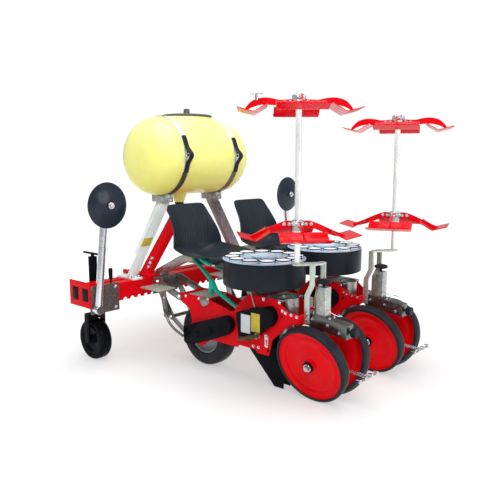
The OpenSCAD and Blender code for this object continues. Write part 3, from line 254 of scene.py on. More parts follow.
CLOUDY, CRYSTAL, GRAIN, DUST = make_cloudy(), make_crystal(), make_grain(), make_dust()
print("groups", [g.name for g in (CLOUDY, CRYSTAL, GRAIN, DUST)])

# %% [markdown]
# ## Finishes
# A finish is a colour that drifts a little, a roughness that drifts with it and a fine relief. One table gives a row
# for each paint, plastic and rubber on the machine, and one function turns a row into a material. Zinc has a table and
# a function of its own, because its tone comes from crystal patches. The arms, the tank and the legs need a little
# more, so each of those gets a cell.

# %% How a finish is put together
DUSTY_ROUGH, COAT_ROUGH, FINE_RELIEF = 0.85, 0.08, 0.001
ZINC_CLOUD, ZINC_CRYSTAL_SHARE, ZINC_GRAIN = 5.0, 0.35, (260.0, 0.06)


def linked_group(tree, group, place, values=()):
    node = add_node(tree, "ShaderNodeGroup", values, node_tree=group)
    wire(tree, (place, "Object", node, "Vector"))
    return node


def surface(name):
    material = bpy.data.materials.new(name)
    material.use_nodes = True
    tree = material.node_tree
    return material, tree, tree.nodes["Principled BSDF"], tree.nodes.new("ShaderNodeTexCoord")


def spread_rough(tree, source, output, rough, target, entry):
    """Stretches a mask to a range of roughness."""
    spread = add_node(tree, "ShaderNodeMapRange", {"To Min": rough[0], "To Max": rough[1]})
    wire(tree, (source, output, spread, "Value"), (spread, "Result", target, entry))


def relief(tree, source, output, shader, strength, distance=FINE_RELIEF):
    bump = add_node(tree, "ShaderNodeBump", {"Strength": strength, "Distance": distance})
    wire(tree, (source, output, bump, "Height"), (bump, "Normal", shader, "Normal"))


def finish(name, colour, second, rough, scale, grain, shine=0.15, coat=0.0, dust=(0.3, 0.0), metal=0.0):
    """Colour drifting to a second one, roughness range, scale, relief (scale, strength) and dust (height, amount)."""
    material, tree, shader, place = surface(name)
    cloud = linked_group(tree, CLOUDY, place, {"Colour": (*colour, 1), "Second": (*second, 1), "Scale": scale})
    dirty = linked_group(tree, DUST, place, {"Height": dust[0], "Amount": dust[1]})
    fine = linked_group(tree, GRAIN, place, {"Scale": grain[0]})
    dull = add_node(tree, "ShaderNodeMix", {"B": DUSTY_ROUGH})
    wire(tree, (cloud, "Colour", dirty, "Colour"), (dirty, "Colour", shader, "Base Color"),
         (dirty, "Mask", dull, "Factor"), (dull, "Result", shader, "Roughness"))
    spread_rough(tree, cloud, "Mask", rough, dull, "A")
    relief(tree, fine, "Height", shader, grain[1])
    give(shader, {"Coat Weight": coat, "Coat Roughness": COAT_ROUGH, "Metallic": metal, "Specular IOR Level": shine})
    return material


def zinc_finish(name, dark, light, rough, scale, metal=0.85):
    """Sheet metal: tone and roughness change from one crystal patch to the next."""
    material, tree, shader, place = surface(name)
    cells = linked_group(tree, CRYSTAL, place, {"Scale": scale})
    cloud = linked_group(tree, CLOUDY, place, {"Colour": (*light, 1), "Second": (*dark, 1), "Scale": ZINC_CLOUD})
    fine = linked_group(tree, GRAIN, place, {"Scale": ZINC_GRAIN[0]})
    tone, mix = colour_mix(tree, dark, light), give(colour_mix(tree), {"Factor": ZINC_CRYSTAL_SHARE})
    wire(tree, (cells, "Value", tone, "Factor"), (cloud, "Colour", mix, FIRST), (tone, MIXED, mix, SECOND),
         (mix, MIXED, shader, "Base Color"))
    spread_rough(tree, cells, "Value", rough, shader, "Roughness")
    relief(tree, fine, "Height", shader, ZINC_GRAIN[1])
    give(shader, {"Metallic": metal})
    return material


print("finish tools ready")

# %% Paints, plastics, rubbers and zincs
PAINTS = {
    "red_paint": ((0.78, 0.004, 0.010), (0.67, 0.003, 0.008), (0.26, 0.40), 4.0, (160.0, 0.03), 0.04, 0.01,
                  (0.35, 0.06)),
    "disc_red": ((0.80, 0.003, 0.008), (0.70, 0.002, 0.007), (0.14, 0.24), 5.0, (90.0, 0.02), 0.06, 0.05),
    "tray_red": ((0.72, 0.003, 0.009), (0.60, 0.002, 0.008), (0.16, 0.26), 5.0, (90.0, 0.02), 0.06, 0.10),
    "dark_paint": ((0.014, 0.015, 0.018), (0.030, 0.030, 0.034), (0.34, 0.60), 30.0, (220.0, 0.10)),
    "speckled_plate": ((0.085, 0.066, 0.062), (0.20, 0.17, 0.16), (0.34, 0.55), 90.0, (260.0, 0.10), 0.15, 0.0,
                       (0.3, 0.0), 0.3),
    "black_plastic": ((0.004, 0.005, 0.007), (0.009, 0.011, 0.014), (0.30, 0.46), 8.0, (420.0, 0.10), 0.05, 0.0,
                      (0.3, 0.02)),
    "seat_plastic": ((0.014, 0.019, 0.027), (0.023, 0.030, 0.041), (0.32, 0.46), 6.0, (380.0, 0.14)),
    "black_rubber": ((0.010, 0.012, 0.016), (0.022, 0.026, 0.034), (0.40, 0.62), 16.0, (300.0, 0.10), 0.15, 0.0,
                     (0.2, 0.10)),
    "gloss_black": ((0.004, 0.0045, 0.006), (0.008, 0.009, 0.012), (0.16, 0.30), 10.0, (120.0, 0.04), 0.03, 0.02),
    "disc_black": ((0.014, 0.021, 0.034), (0.022, 0.027, 0.040), (0.18, 0.30), 7.0, (120.0, 0.04), 0.15, 0.12),
    "dark_rim": ((0.27, 0.29, 0.33), (0.35, 0.37, 0.42), (0.24, 0.38), 12.0, (160.0, 0.05), 0.15, 0.10),
    "lid_plastic": ((0.105, 0.112, 0.110), (0.085, 0.090, 0.088), (0.30, 0.42), 7.0, (380.0, 0.08)),
    "hose": ((0.004, 0.46, 0.30), (0.003, 0.33, 0.22), (0.20, 0.34), 20.0, (200.0, 0.03), 0.15, 0.25),
    "drum_plastic": ((0.012, 0.015, 0.022), (0.018, 0.022, 0.031), (0.28, 0.40), 5.0, (140.0, 0.05), 0.09),
    # The star plate and the centre cap are bright metal. Their pale blue is a painted reflection of the sky, on a plain
    # surface with no metal.
    "star_plate_painted_sky": ((0.36, 0.52, 0.68), (0.50, 0.66, 0.81), (0.30, 0.44), 14.0, (240.0, 0.05), 0.12),
    "cap_plate_painted_sky": ((0.60, 0.76, 0.86), (0.50, 0.66, 0.76), (0.30, 0.44), 30.0, (240.0, 0.05)),
    "cup_white": ((0.92, 0.94, 0.96), (0.84, 0.87, 0.90), (0.30, 0.45), 30.0, (300.0, 0.03)),
    "brass_grip": ((0.075, 0.058, 0.018), (0.040, 0.032, 0.012), (0.26, 0.40), 40.0, (200.0, 0.05)),
    "white_plate": ((0.62, 0.68, 0.72), (0.54, 0.59, 0.62), (0.30, 0.45), 20.0, (300.0, 0.02)),
    "yellow_plate": ((0.58, 0.44, 0.045), (0.48, 0.36, 0.03), (0.30, 0.45), 20.0, (300.0, 0.02)),
    "floor": ((0.44, 0.44, 0.44), (0.43, 0.43, 0.43), (0.85, 0.95), 0.4, (40.0, 0.0)),
}
ZINCS = {
    "zinc": ((0.24, 0.25, 0.25), (0.62, 0.64, 0.61), (0.26, 0.44), 55.0, 0.9),
    "dark_zinc": ((0.12, 0.115, 0.11), (0.36, 0.35, 0.33), (0.26, 0.46), 45.0, 0.9),
    "stand_zinc": ((0.46, 0.53, 0.47), (0.63, 0.72, 0.63), (0.28, 0.42), 40.0, 0.55),
    "pale_zinc": ((0.72, 0.76, 0.77), (0.92, 0.96, 0.96), (0.30, 0.44), 40.0, 0.45),
    "bright_steel": ((0.46, 0.47, 0.50), (0.80, 0.81, 0.84), (0.14, 0.26), 120.0, 0.95),
    "band_painted_shade": ((0.08, 0.065, 0.06), (0.16, 0.13, 0.12), (0.30, 0.45), 40.0),
    "arm_zinc": ((0.34, 0.36, 0.34), (0.72, 0.75, 0.70), (0.24, 0.40), 50.0, 0.9),
}
FINISH = {name: finish(name, *row) for name, row in PAINTS.items()}
FINISH.update({name: zinc_finish(name, *row) for name, row in ZINCS.items()})
# The cup walls glow a pale blue-white: painted light, as if their far sides were lit.
CUP_GLOW_TINT, CUP_GLOW = (0.80, 0.92, 1.0, 1), 0.22
give(FINISH["cup_white"].node_tree.nodes["Principled BSDF"],
     {"Emission Color": CUP_GLOW_TINT, "Emission Strength": CUP_GLOW})
print("finishes", sorted(FINISH))

# %% Darker zinc below a height
ARM_FOLD, ARM_PAINTED_SHADE, FOLD_BLUR = 0.524, (0.29, 0.30, 0.31), 0.006


def darker_below(material, height, tint):
    """Painted shade: folded sheet that faces the ground is painted darker than the sheet above it; tint is the shade
    colour that multiplies the tone there.
    """
    tree = material.node_tree
    shader = tree.nodes["Principled BSDF"]
    tone = shader.inputs["Base Color"].links[0].from_socket
    split = add_node(tree, "ShaderNodeSeparateXYZ")
    share = add_node(tree, "ShaderNodeMapRange", {"From Min": height + FOLD_BLUR, "From Max": height - FOLD_BLUR})
    mix = colour_mix(tree, None, tint, blend_type="MULTIPLY")
    tree.links.new(tone, mix.inputs[FIRST])
    wire(tree, (tree.nodes["Texture Coordinate"], "Object", split, "Vector"), (split, "Z", share, "Value"),
         (share, "Result", mix, "Factor"), (mix, MIXED, shader, "Base Color"))


darker_below(FINISH["arm_zinc"], ARM_FOLD, ARM_PAINTED_SHADE)
print("arm zinc ready")


# %% Tank plastic
def tank_finish():
    """Pale yellow moulded plastic: light passes in a little, the tone drifts, and the lower part is painted a richer,
    darker yellow as painted shade.
    """
    material, tree, shader, place = surface("tank_plastic")
    cloud = linked_group(tree, CLOUDY, place, {"Colour": (0.90, 0.90, 0.31, 1), "Second": (0.85, 0.82, 0.22, 1),
                                               "Scale": 3.2, "Low": 0.45, "High": 0.85})
    split = add_node(tree, "ShaderNodeSeparateXYZ")
    # Painted shade: the tone grows richer and darker towards the bottom of the tank.
    low = add_node(tree, "ShaderNodeMapRange", {"From Min": 1.50, "From Max": 1.16, "To Max": 0.75})
    painted_low_shade = colour_mix(tree, None, (0.80, 0.74, 0.13))
    waves = add_node(tree, "ShaderNodeTexNoise", {"Scale": 9.0, "Detail": 2.0})
    wire(tree, (place, "Object", split, "Vector"), (split, "Z", low, "Value"), (low, "Result", painted_low_shade, "Factor"),
         (cloud, "Colour", painted_low_shade, FIRST), (painted_low_shade, MIXED, shader, "Base Color"), (place, "Object", waves, "Vector"))
    spread_rough(tree, cloud, "Mask", (0.24, 0.36), shader, "Roughness")
    relief(tree, waves, "Fac", shader, 0.25, 0.004)
    give(shader, {"Subsurface Weight": 0.35, "Subsurface Radius": (0.06, 0.05, 0.02), "Coat Weight": 0.10,
                  "Specular IOR Level": 0.25})
    return material


FINISH["tank_plastic"] = tank_finish()
print("tank plastic ready")


# %% Leg zinc
def leg_finish():
    """Galvanised sheet with painted light and shade: pale on the left leg as a painted sky reflection, browner on the
    right one as painted shade and a painted dark reflection, and grey where both meet the tank as painted shade under
    it.
    """
    material, tree, shader, place = surface("leg_zinc")
    cells = linked_group(tree, CRYSTAL, place, {"Scale": 40.0})
    split = add_node(tree, "ShaderNodeSeparateXYZ")
    # Painted light and shade by place: pale left leg, browner right leg, grey tops under the tank.
    right = add_node(tree, "ShaderNodeMapRange", {"From Min": HITCH_X - 0.02, "From Max": HITCH_X + 0.02})
    head = add_node(tree, "ShaderNodeMapRange", {"From Min": 1.08, "From Max": 1.11})
    pale = colour_mix(tree, (0.86, 0.93, 0.92), (0.96, 1.0, 1.0))
    brown = colour_mix(tree, (0.15, 0.105, 0.115), (0.27, 0.20, 0.21))
    grey = colour_mix(tree, (0.20, 0.21, 0.21), (0.46, 0.48, 0.46))
    hand, whole = colour_mix(tree), colour_mix(tree)
    wire(tree, (place, "Object", split, "Vector"), (split, "X", right, "Value"), (split, "Z", head, "Value"),
         *((cells, "Value", tone, "Factor") for tone in (pale, brown, grey)),
         (right, "Result", hand, "Factor"), (pale, MIXED, hand, FIRST), (brown, MIXED, hand, SECOND),
         (head, "Result", whole, "Factor"), (hand, MIXED, whole, FIRST), (grey, MIXED, whole, SECOND),
         (whole, MIXED, shader, "Base Color"))
    spread_rough(tree, cells, "Value", (0.28, 0.42), shader, "Roughness")
    give(shader, {"Metallic": 0.15})
    return material


FINISH["leg_zinc"] = leg_finish()
print("leg zinc ready")

# %% Floor
FLOOR_HALF = 30
# The floor's glow is weakest near the machine's middle and grows outwards: a painted shade round and under the machine.
NEAR_GLOW, FAR_GLOW = (0.7, 0.45), (3.4, 0.9)
floor_mesh = bpy.data.meshes.new("floor")
floor_mesh.from_pydata([(-FLOOR_HALF, -FLOOR_HALF, 0), (FLOOR_HALF, -FLOOR_HALF, 0), (FLOOR_HALF, FLOOR_HALF, 0),
                        (-FLOOR_HALF, FLOOR_HALF, 0)], [], [(0, 1, 2, 3)])
floor_tree = FINISH["floor"].node_tree
floor_shader = give(floor_tree.nodes["Principled BSDF"], {"Emission Color": (1, 1, 1, 1)})
far = add_node(floor_tree, "ShaderNodeVectorMath", operation="LENGTH")
glow = add_node(floor_tree, "ShaderNodeMapRange", {"From Min": NEAR_GLOW[0], "From Max": FAR_GLOW[0],
                                                   "To Min": NEAR_GLOW[1], "To Max": FAR_GLOW[1]})
wire(floor_tree, (floor_tree.nodes["Texture Coordinate"], "Object", far, 0), (far, "Value", glow, "Value"),
     (glow, "Result", floor_shader, "Emission Strength"))
floor_mesh.materials.append(FINISH["floor"])
floor = bpy.data.objects.new("floor", floor_mesh)
bpy.context.scene.collection.objects.link(floor)
print("floor", 2 * FLOOR_HALF, "m wide")

# %% [markdown]
# ## Turning a sketch into a piece
# Three small tools make most of the machine. The first closes a piece: it gives it a finish, a body to ride on and the
# solids it stands for. The second spins a profile round a line, as a lathe does, and gives wheels, drums, knobs and the
# tank. The third softens the edges of a CAD solid, because folded sheet and cut plate never have razor edges and a thin
# bright line along an edge is what makes metal look like metal.

# %% Closing a piece
SHARP = math.radians(38)


def close_piece(name, mesh, body, finishes, stands_for=()):
    """Links a finished mesh, shades it, hangs it on the empty of the body that carries it and hides the solids it
    stands for.
    """
    for label in finishes:
        mesh.materials.append(FINISH[label])
    mesh.shade_smooth()
    mesh.set_sharp_from_angle(angle=SHARP)
    piece = bpy.data.objects.new(name, mesh)
    bpy.context.scene.collection.objects.link(piece)
    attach(piece, body)
    if stands_for:
        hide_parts(*stands_for)
    return piece


def mesh_from(bm, name):
    bmesh.ops.remove_doubles(bm, verts=bm.verts, dist=1e-6)
    bmesh.ops.recalc_face_normals(bm, faces=bm.faces)
    mesh = bpy.data.meshes.new(name)
    bm.to_mesh(mesh)
    bm.free()
    return mesh


def shaped(name, bm, finishes, stands_for=(), body="machine"):
    """Piece from its points and faces; most pieces ride the machine itself."""
    return close_piece(name, mesh_from(bm, name), body, finishes, stands_for)


def smooth(low, high, value):
    """Soft step from 0 to 1 between two values."""
    t = max(0.0, min(1.0, (value - low) / (high - low)))
    return t * t * (3 - 2 * t)


def join_rings(bm, rings, loop=False, material=0):
    """Skin over rings of points: a loop, or a run whose two ends are closed and returned."""
    for one, two in zip(rings, rings[1:] + (rings[:1] if loop else [])):
        for k in range(len(one)):
            m = (k + 1) % len(one)
            bm.faces.new((one[k], one[m], two[m], two[k])).material_index = material
    ends = [] if loop else [bm.faces.new(ring) for ring in (rings[0], rings[-1])]
    for face in ends:
        face.material_index = material
    return ends


print("closing tools ready")

# %% Lathe
STEPS = 96


def cross_pair(line):
    """Two directions square to a line."""
    line = line.normalized()
    side = UP if abs(line.z) < 0.9 else AHEAD
    first = (side - line * side.dot(line)).normalized()
    return first, line.cross(first)


def spin(bm, profile, centre, line, steps=STEPS, closed=True, material=0):
    """Spins (along, radius) points round a line. A closed profile is a ring; an open one must end on the line."""
    first, second = cross_pair(line)
    line = line.normalized()
    rings = []
    for along, radius in profile:
        if radius < 1e-7:
            rings.append([bm.verts.new(centre + line * along)])
            continue
        rings.append([bm.verts.new(centre + line * along + (first * math.cos(a) + second * math.sin(a)) * radius)
                      for a in (2 * math.pi * i / steps for i in range(steps))])
    pairs = list(zip(rings, rings[1:])) + ([(rings[-1], rings[0])] if closed else [])
    for low, high in pairs:
        for i in range(steps):
            j = (i + 1) % steps
            corners = [low[i % len(low)], low[j % len(low)], high[j % len(high)], high[i % len(high)]]
            bm.faces.new(list(dict.fromkeys(corners))).material_index = material


def turned(name, parts, body, finishes, stands_for=(), steps=STEPS):
    """Piece from turned parts: rows of (profile, centre, line, closed, finish index)."""
    bm = bmesh.new()
    for profile, centre, line, closed, index in parts:
        spin(bm, profile, centre, line, steps, closed, index)
    return shaped(name, bm, finishes, stands_for, body)


def on_axle(node, joint, profiles, body, finishes):
    """Rings turned on a joint's axle, standing for one solid. Rings past the last finish share it."""
    centre, line, last = joint_spot(joint), joint_line(joint), len(finishes) - 1
    parts = [(profile, centre, line, True, min(i, last)) for i, profile in enumerate(profiles)]
    return turned(f"{node}_turned", parts, body, finishes, [node])


def mirrored(half):
    """Profile and its mirror along the line, from one side to the other."""
    return half + [(-along, radius) for along, radius in reversed(half)]


print("lathe ready")

# %% Softened copies of solids
FLAT = math.radians(0.6)
CORNER = math.radians(40)


def softened_mesh(node, width, name):
    bm = bmesh.new()
    bm.from_mesh(frame["nodes"][node].data)
    bmesh.ops.remove_doubles(bm, verts=bm.verts, dist=1e-5)
    bmesh.ops.dissolve_limit(bm, angle_limit=FLAT, verts=bm.verts, edges=bm.edges)
    corners = [e for e in bm.edges if len(e.link_faces) == 2 and e.calc_face_angle(0) > CORNER]
    bmesh.ops.bevel(bm, geom=corners, offset=width, segments=2, profile=0.6, affect="EDGES", clamp_overlap=True)
    mesh = bpy.data.meshes.new(name)
    bm.to_mesh(mesh)
    bm.free()
    return mesh


print("softening ready")

# %% [markdown]
# ## Plates, tubes and brackets
# The frame of the machine is folded sheet, square tube and cut plate. Their shapes are right in the solids, so each is
# copied, its flat triangles are joined and its corners get a small round. The table gives each one's corner and finish.

# %% Frame pieces
FRAME_PIECES = {
    "toolbar_beam": (0.004, "red_paint", "red_paint"),
    "hitch_frame": (0.003, "red_paint", "red_paint"),
    "unit_frames": (0.0012, "red_paint", "red_paint"),
    "end_brackets": (0.0015, "dark_paint", "speckled_plate"),
    "end_plugs": (0.002, "black_plastic", "black_plastic"),
    "tank_legs": (0.0015, "zinc", "leg_zinc"),
    "gauge_legs": (0.002, "dark_paint", "gloss_black"),
    "seat_supports": (0.003, "zinc", "zinc"),
    "foot_plates": (0.0012, "zinc", "stand_zinc"),
    "unit_clamps": (0.0012, "zinc", "dark_zinc"),
    "drive_axles": (0.001, "zinc", "bright_steel"),
    "openers": (0.0015, "dark_paint", "gloss_black"),
    "drop_funnels": (0.001, "zinc", "zinc"),
    "carousel_posts": (0.001, "zinc", "zinc"),
    "press_arms": (0.004, "zinc", "arm_zinc"),
    "stand_brackets": (0.0012, "zinc", "stand_zinc"),
    "stand_posts": (0.001, "zinc", "pale_zinc"),
}
for node, (width, slot, label) in FRAME_PIECES.items():
    name = f"{node}_soft"
    close_piece(name, softened_mesh(node, width, name), "machine", [label], [node])

# %% [markdown]
# ## Press wheels
# Each press wheel is a pressed steel disc, painted red, with a wide smooth rubber band. The disc has a ridge near its
# rim and a cone at its middle. A lathe profile follows the section of the real wheel from the rim to the hub.

# %% Press wheels
PRESS_TYRE = mirrored([(0.028, 0.2150), (0.0340, 0.2165), (0.0360, 0.2190), (0.0358, 0.2255), (0.0330, 0.2305),
                       (0.0270, 0.2352), (0.0180, 0.2368), (0.0060, 0.2372)])
PRESS_WEB = [(0.0280, 0.2150), (0.0280, 0.2095), (0.0200, 0.2075), (0.0120, 0.2000), (0.0100, 0.1880),
             (0.0120, 0.1780), (0.0175, 0.1700), (0.0180, 0.1600), (0.0130, 0.1520), (0.0085, 0.1400),
             (0.0070, 0.1200), (0.0085, 0.1000), (0.0120, 0.0850), (0.0175, 0.0740), (0.0195, 0.0640),
             (0.0195, 0.0340), (0.0340, 0.0320), (0.0360, 0.0290), (0.0360, 0.0132)]
WEB_SHEET = 0.005
PRESS_DISC = PRESS_WEB + [(-0.0360, 0.0132), (-0.0360, 0.0290), (-0.0340, 0.0320), (0.0195 - WEB_SHEET, 0.0340)] + [
    (a - WEB_SHEET, r) for a, r in reversed(PRESS_WEB[3:15])] + [(-0.0200, 0.2085), (-0.0280, 0.2095),
                                                                 (-0.0280, 0.2150)]
HUB_RING = [(0.0300, 0.0322), (0.0300, 0.0150), (0.0440, 0.0150), (0.0460, 0.0200), (0.0460, 0.0290),
            (0.0445, 0.0318), (0.0400, 0.0326), (0.0385, 0.0338), (0.0350, 0.0338)]
PRESS_WHEELS = range(1, 5)
for wheel in PRESS_WHEELS:
    joint, body = f"press_{wheel}_spin", f"press_wheel_{wheel}"
    on_axle(f"press_tyre_{wheel}", joint, [PRESS_TYRE], body, ["black_rubber"])
    on_axle(f"press_disc_{wheel}", joint, [PRESS_DISC, HUB_RING], body, ["disc_red", "gloss_black"])

# %% [markdown]
# ## Drive wheels and gauge wheels
# The drive wheels carry a small farm tyre on a pressed rim; only part of them shows between the plates. The gauge
# wheels under the toolbar's ends are solid black wheels with stepped sides.

# %% Drive and gauge wheels
DRIVE_TYRE = mirrored([(0.045, 0.1320), (0.0520, 0.1350), (0.0585, 0.1520), (0.0600, 0.1700), (0.0595, 0.1870),
                       (0.0560, 0.2010), (0.0470, 0.2110), (0.0300, 0.2150), (0.0100, 0.2165)])
DRIVE_RIM = mirrored([(0.0450, 0.1318), (0.0450, 0.1240), (0.0380, 0.1200), (0.0200, 0.1160), (0.0080, 0.1000),
                      (0.0060, 0.0800), (0.0180, 0.0520), (0.0200, 0.0330), (0.0840, 0.0320), (0.0840, 0.0156)])
GAUGE_WHEEL = mirrored([(0.0520, 0.0128), (0.0520, 0.0230), (0.0500, 0.0250), (0.0470, 0.0250), (0.0460, 0.0300),
                        (0.0300, 0.0360), (0.0280, 0.0700), (0.0360, 0.0860), (0.0440, 0.0900), (0.0450, 0.1080),
                        (0.0410, 0.1110), (0.0440, 0.1150), (0.0452, 0.1270), (0.0400, 0.1380), (0.0300, 0.1440),
                        (0.0240, 0.1455), (0.0220, 0.1430), (0.0180, 0.1430), (0.0160, 0.1456), (0.0040, 0.1459)])
for side in HAND:
    joint, body = f"drive_{side}_spin", f"drive_wheel_{side}"
    on_axle(f"drive_tyre_{side}", joint, [DRIVE_TYRE], body, ["black_rubber"])
    on_axle(f"drive_rim_{side}", joint, [DRIVE_RIM], body, ["dark_rim"])
    name = f"gauge_wheel_{side}"
    on_axle(name, f"gauge_{side}_spin", [GAUGE_WHEEL], name, ["gloss_black"])

# %% [markdown]
# ## Marker discs
# A marker draws the line that the tractor follows on its next pass. Its disc is a shallow dish of black steel, seen
# from its bulging side, on a hub with a bright bolt. It stands on a round post that folds down from the toolbar's end.

# %% Marker discs
DISC_RADIUS, DISC_DISH, DISC_SHEET = 0.150, 0.026, 0.005


def dish_profile():
    ball = (DISC_RADIUS ** 2 + DISC_DISH ** 2) / (2 * DISC_DISH)
    radii = [0.0112] + [DISC_RADIUS * i / 12 for i in range(2, 13)]
    outer = [(ball - math.sqrt(ball * ball - r * r) - DISC_DISH / 2, r) for r in radii]
    inner = [(along + DISC_SHEET, r) for along, r in reversed(outer[:-1])]
    return outer + [(outer[-1][0], DISC_RADIUS - 0.002)] + inner


DISC_HUB = [(-0.0125, 0.0112), (-0.0125, 0.0270), (-0.0105, 0.0290), (0.0125, 0.0290), (0.0125, 0.0112)]
for side in HAND:
    name = f"marker_disc_{side}"
    on_axle(name, f"{name}_spin", [dish_profile(), DISC_HUB], name, ["disc_black"])
print("marker discs", DISC_RADIUS * 2, "m")

# %% Marker posts
POST_RADIUS, POST_FOOT, POST_PAST, POST_ROUND = 0.0250, 0.026, 0.021, 0.004
EYE = mirrored([(-0.0250, 0.0127), (-0.0250, 0.0290), (-0.0235, 0.0305)])
SPINDLE = [(-0.0440, 0.0), (-0.0440, 0.0110), (0.0255, 0.0110), (0.0255, 0.0205), (0.0275, 0.0220), (0.0320, 0.0220),
           (0.0335, 0.0200), (0.0335, 0.0)]
for side in HAND:
    pivot, top = joint_spot(f"marker_{side}_fold"), joint_spot(f"marker_disc_{side}_spin")
    rise = Vector((top.x, pivot.y, top.z)) - pivot
    head = rise.length + POST_PAST
    tube = [(POST_FOOT, 0.0), (POST_FOOT, POST_RADIUS), (head, POST_RADIUS),
            (head + POST_ROUND, POST_RADIUS - POST_ROUND), (head + POST_ROUND, 0.0)]
    turned(f"marker_arm_{side}_tube", [(tube, pivot, rise, False, 0), (EYE, pivot, BACKWARD, True, 0),
                                       (SPINDLE, top, BACKWARD, False, 0)],
           f"marker_{side}", ["bright_steel"], [f"marker_arm_{side}"], 48)
print("marker posts", round(rise.length, 3), "m")

# %% [markdown]
# ## Water tank
# The tank is blown plastic with large round ends, a wide lid on top and a funnel-shaped outlet below. The lathe gives
# all three. The lid's seat swells out of the tank without an edge, so a skirt is drawn between the two: at every angle
# a smooth curve leaves the seat level and meets the tank at the tank's own slope. Two steel bands hold the tank, each
# with a rubber tensioner over a hook.

# %% Tank, lid and outlet
TANK_MIDDLE = spot(0, 1.5375, 1.432)
TANK_RADIUS, TANK_HALF, TANK_ROUND = 0.277, 0.490, 0.190
TANK_SKIN = TANK_RADIUS - 0.0010
SWELL_RISE, SWELL_FULL, SWELL_NONE = 0.0240, 0.18, 0.47


def tank_swell(x):
    """How far the tank's back rises towards the lid's seat, along its length."""
    return SWELL_RISE * (1 - smooth(SWELL_FULL, SWELL_NONE, abs(x)))


def tank_height(x, y):
    """Height of the tank's upper side over its line."""
    high = math.sqrt(max(0.0, TANK_SKIN ** 2 - y * y))
    for _ in range(4):
        reach = TANK_SKIN + tank_swell(x) * (high / math.hypot(high, y)) ** 4
        high = math.sqrt(max(1e-6, reach * reach - y * y))
    return high


def tank_profile():
    half = [(0.03 * i, TANK_SKIN) for i in range(10)] + [(TANK_HALF - TANK_ROUND, TANK_SKIN)]
    for i in range(1, 17):
        a = math.pi / 2 * i / 16
        half.append((TANK_HALF - TANK_ROUND + TANK_ROUND * math.sin(a),
                     TANK_RADIUS - TANK_ROUND + (TANK_ROUND - 0.001) * math.cos(a)))
    half += [(TANK_HALF + 0.0008, 0.050), (TANK_HALF + 0.001, 0.0)]
    return [(-x, r) for x, r in reversed(half)] + half[1:]


LID_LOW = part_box("tank_lid")[0].z
SEAT_HEIGHT, SEAT_RADIUS, SKIRT_RADIUS = LID_LOW - TANK_MIDDLE.z, 0.176, 0.250
NECK_RADIUS, NECK_FOOT, SINK = 0.120, 0.130, 0.0004
SKIRT_STEPS, SKIRT_ROUND = 14, 120


def skirt_curve(angle):
    """Radius and height from the lid's seat out to the tank, at one angle round the neck."""
    x, y, step = math.cos(angle), math.sin(angle), 0.002
    foot = tank_height(SKIRT_RADIUS * x, SKIRT_RADIUS * y) - SINK
    slope = (tank_height((SKIRT_RADIUS + step) * x, (SKIRT_RADIUS + step) * y) - foot - SINK) / step
    span = SKIRT_RADIUS - SEAT_RADIUS
    curve = []
    for i in range(SKIRT_STEPS + 1):
        t = i / SKIRT_STEPS
        high = 2 * t ** 3 - 3 * t ** 2 + 1
        level = SEAT_HEIGHT * high + foot * (1 - high)
        curve.append((SEAT_RADIUS + span * t, level + slope * span * (t ** 3 - t ** 2)))
    return [(NECK_RADIUS, SEAT_HEIGHT)] + curve + [(SKIRT_RADIUS - 0.010, foot - 0.020), (NECK_RADIUS, NECK_FOOT)]


def skirt(bm, centre):
    rings = []
    for i in range(SKIRT_ROUND):
        a = 2 * math.pi * i / SKIRT_ROUND
        rings.append([bm.verts.new(centre + Vector((r * math.cos(a), r * math.sin(a), z)))
                      for r, z in skirt_curve(a)])
    join_rings(bm, rings, True)


OUTLET = [(-0.250, 0.0), (-0.250, 0.064), (-0.277, 0.058), (-0.329, 0.0375), (-0.3355, 0.0345), (-0.3368, 0.0310),
          (-0.3368, 0.0)]
OUTLET_SHIFT = Vector((-0.090, 0, 0))
tank_bm = bmesh.new()
spin(tank_bm, tank_profile(), TANK_MIDDLE, RIGHT, STEPS, False)
for v in tank_bm.verts:
    x, y, z = v.co - TANK_MIDDLE
    if z > 0:
        v.co += Vector((0, y, z)).normalized() * tank_swell(x) * (z / math.hypot(y, z)) ** 4
spin(tank_bm, OUTLET, TANK_MIDDLE + OUTLET_SHIFT, UP, 64, False)
skirt(tank_bm, TANK_MIDDLE)
shaped("tank_turned", tank_bm, ["tank_plastic"], ["tank"])
LID = [(0.0, 0.0), (0.0, 0.178), (0.001, 0.187), (0.004, 0.1912), (0.009, 0.1918), (0.013, 0.1890), (0.016, 0.1780),
       (0.0205, 0.130), (0.0232, 0.070), (0.0238, 0.034), (0.0250, 0.0262), (0.0290, 0.0240), (0.0560, 0.0226),
       (0.0615, 0.0205), (0.0636, 0.0150), (0.0638, 0.0)]
lid_foot = Vector((TANK_MIDDLE.x, TANK_MIDDLE.y, LID_LOW))
turned("tank_lid_turned", [(LID, lid_foot, UP, False, 0)], "lid", ["lid_plastic"], ["tank_lid"])
CAP = [(-0.3508, 0.0), (-0.3508, 0.0315), (-0.3490, 0.0340), (-0.3400, 0.0349), (-0.3372, 0.0340), (-0.3372, 0.0)]
turned("tank_outlet_turned", [(CAP, TANK_MIDDLE + OUTLET_SHIFT, UP, False, 0)], "machine",
       ["black_plastic"], ["tank_outlet"], 48)
print("tank", TANK_HALF * 2, "m long")


# %% Bands and tensioners
def arc_band(bm, centre, outline, low, high, steps, material):
    """Sweeps an outline of (along X, out from the radius) round the tank's line, between two angles from the rear."""
    rings = []
    for i in range(steps + 1):
        share = i / steps
        a = low + (high - low) * share
        out, rise = Vector((0, -math.cos(a), 0)), Vector((0, 0, math.sin(a)))
        swell = tank_swell(centre.x - TANK_MIDDLE.x) * max(0.0, math.sin(a)) ** 4
        rings.append([bm.verts.new(centre + RIGHT * x + (out + rise) * (r + swell)) for x, r in outline(share)])
    join_rings(bm, rings, False, material)


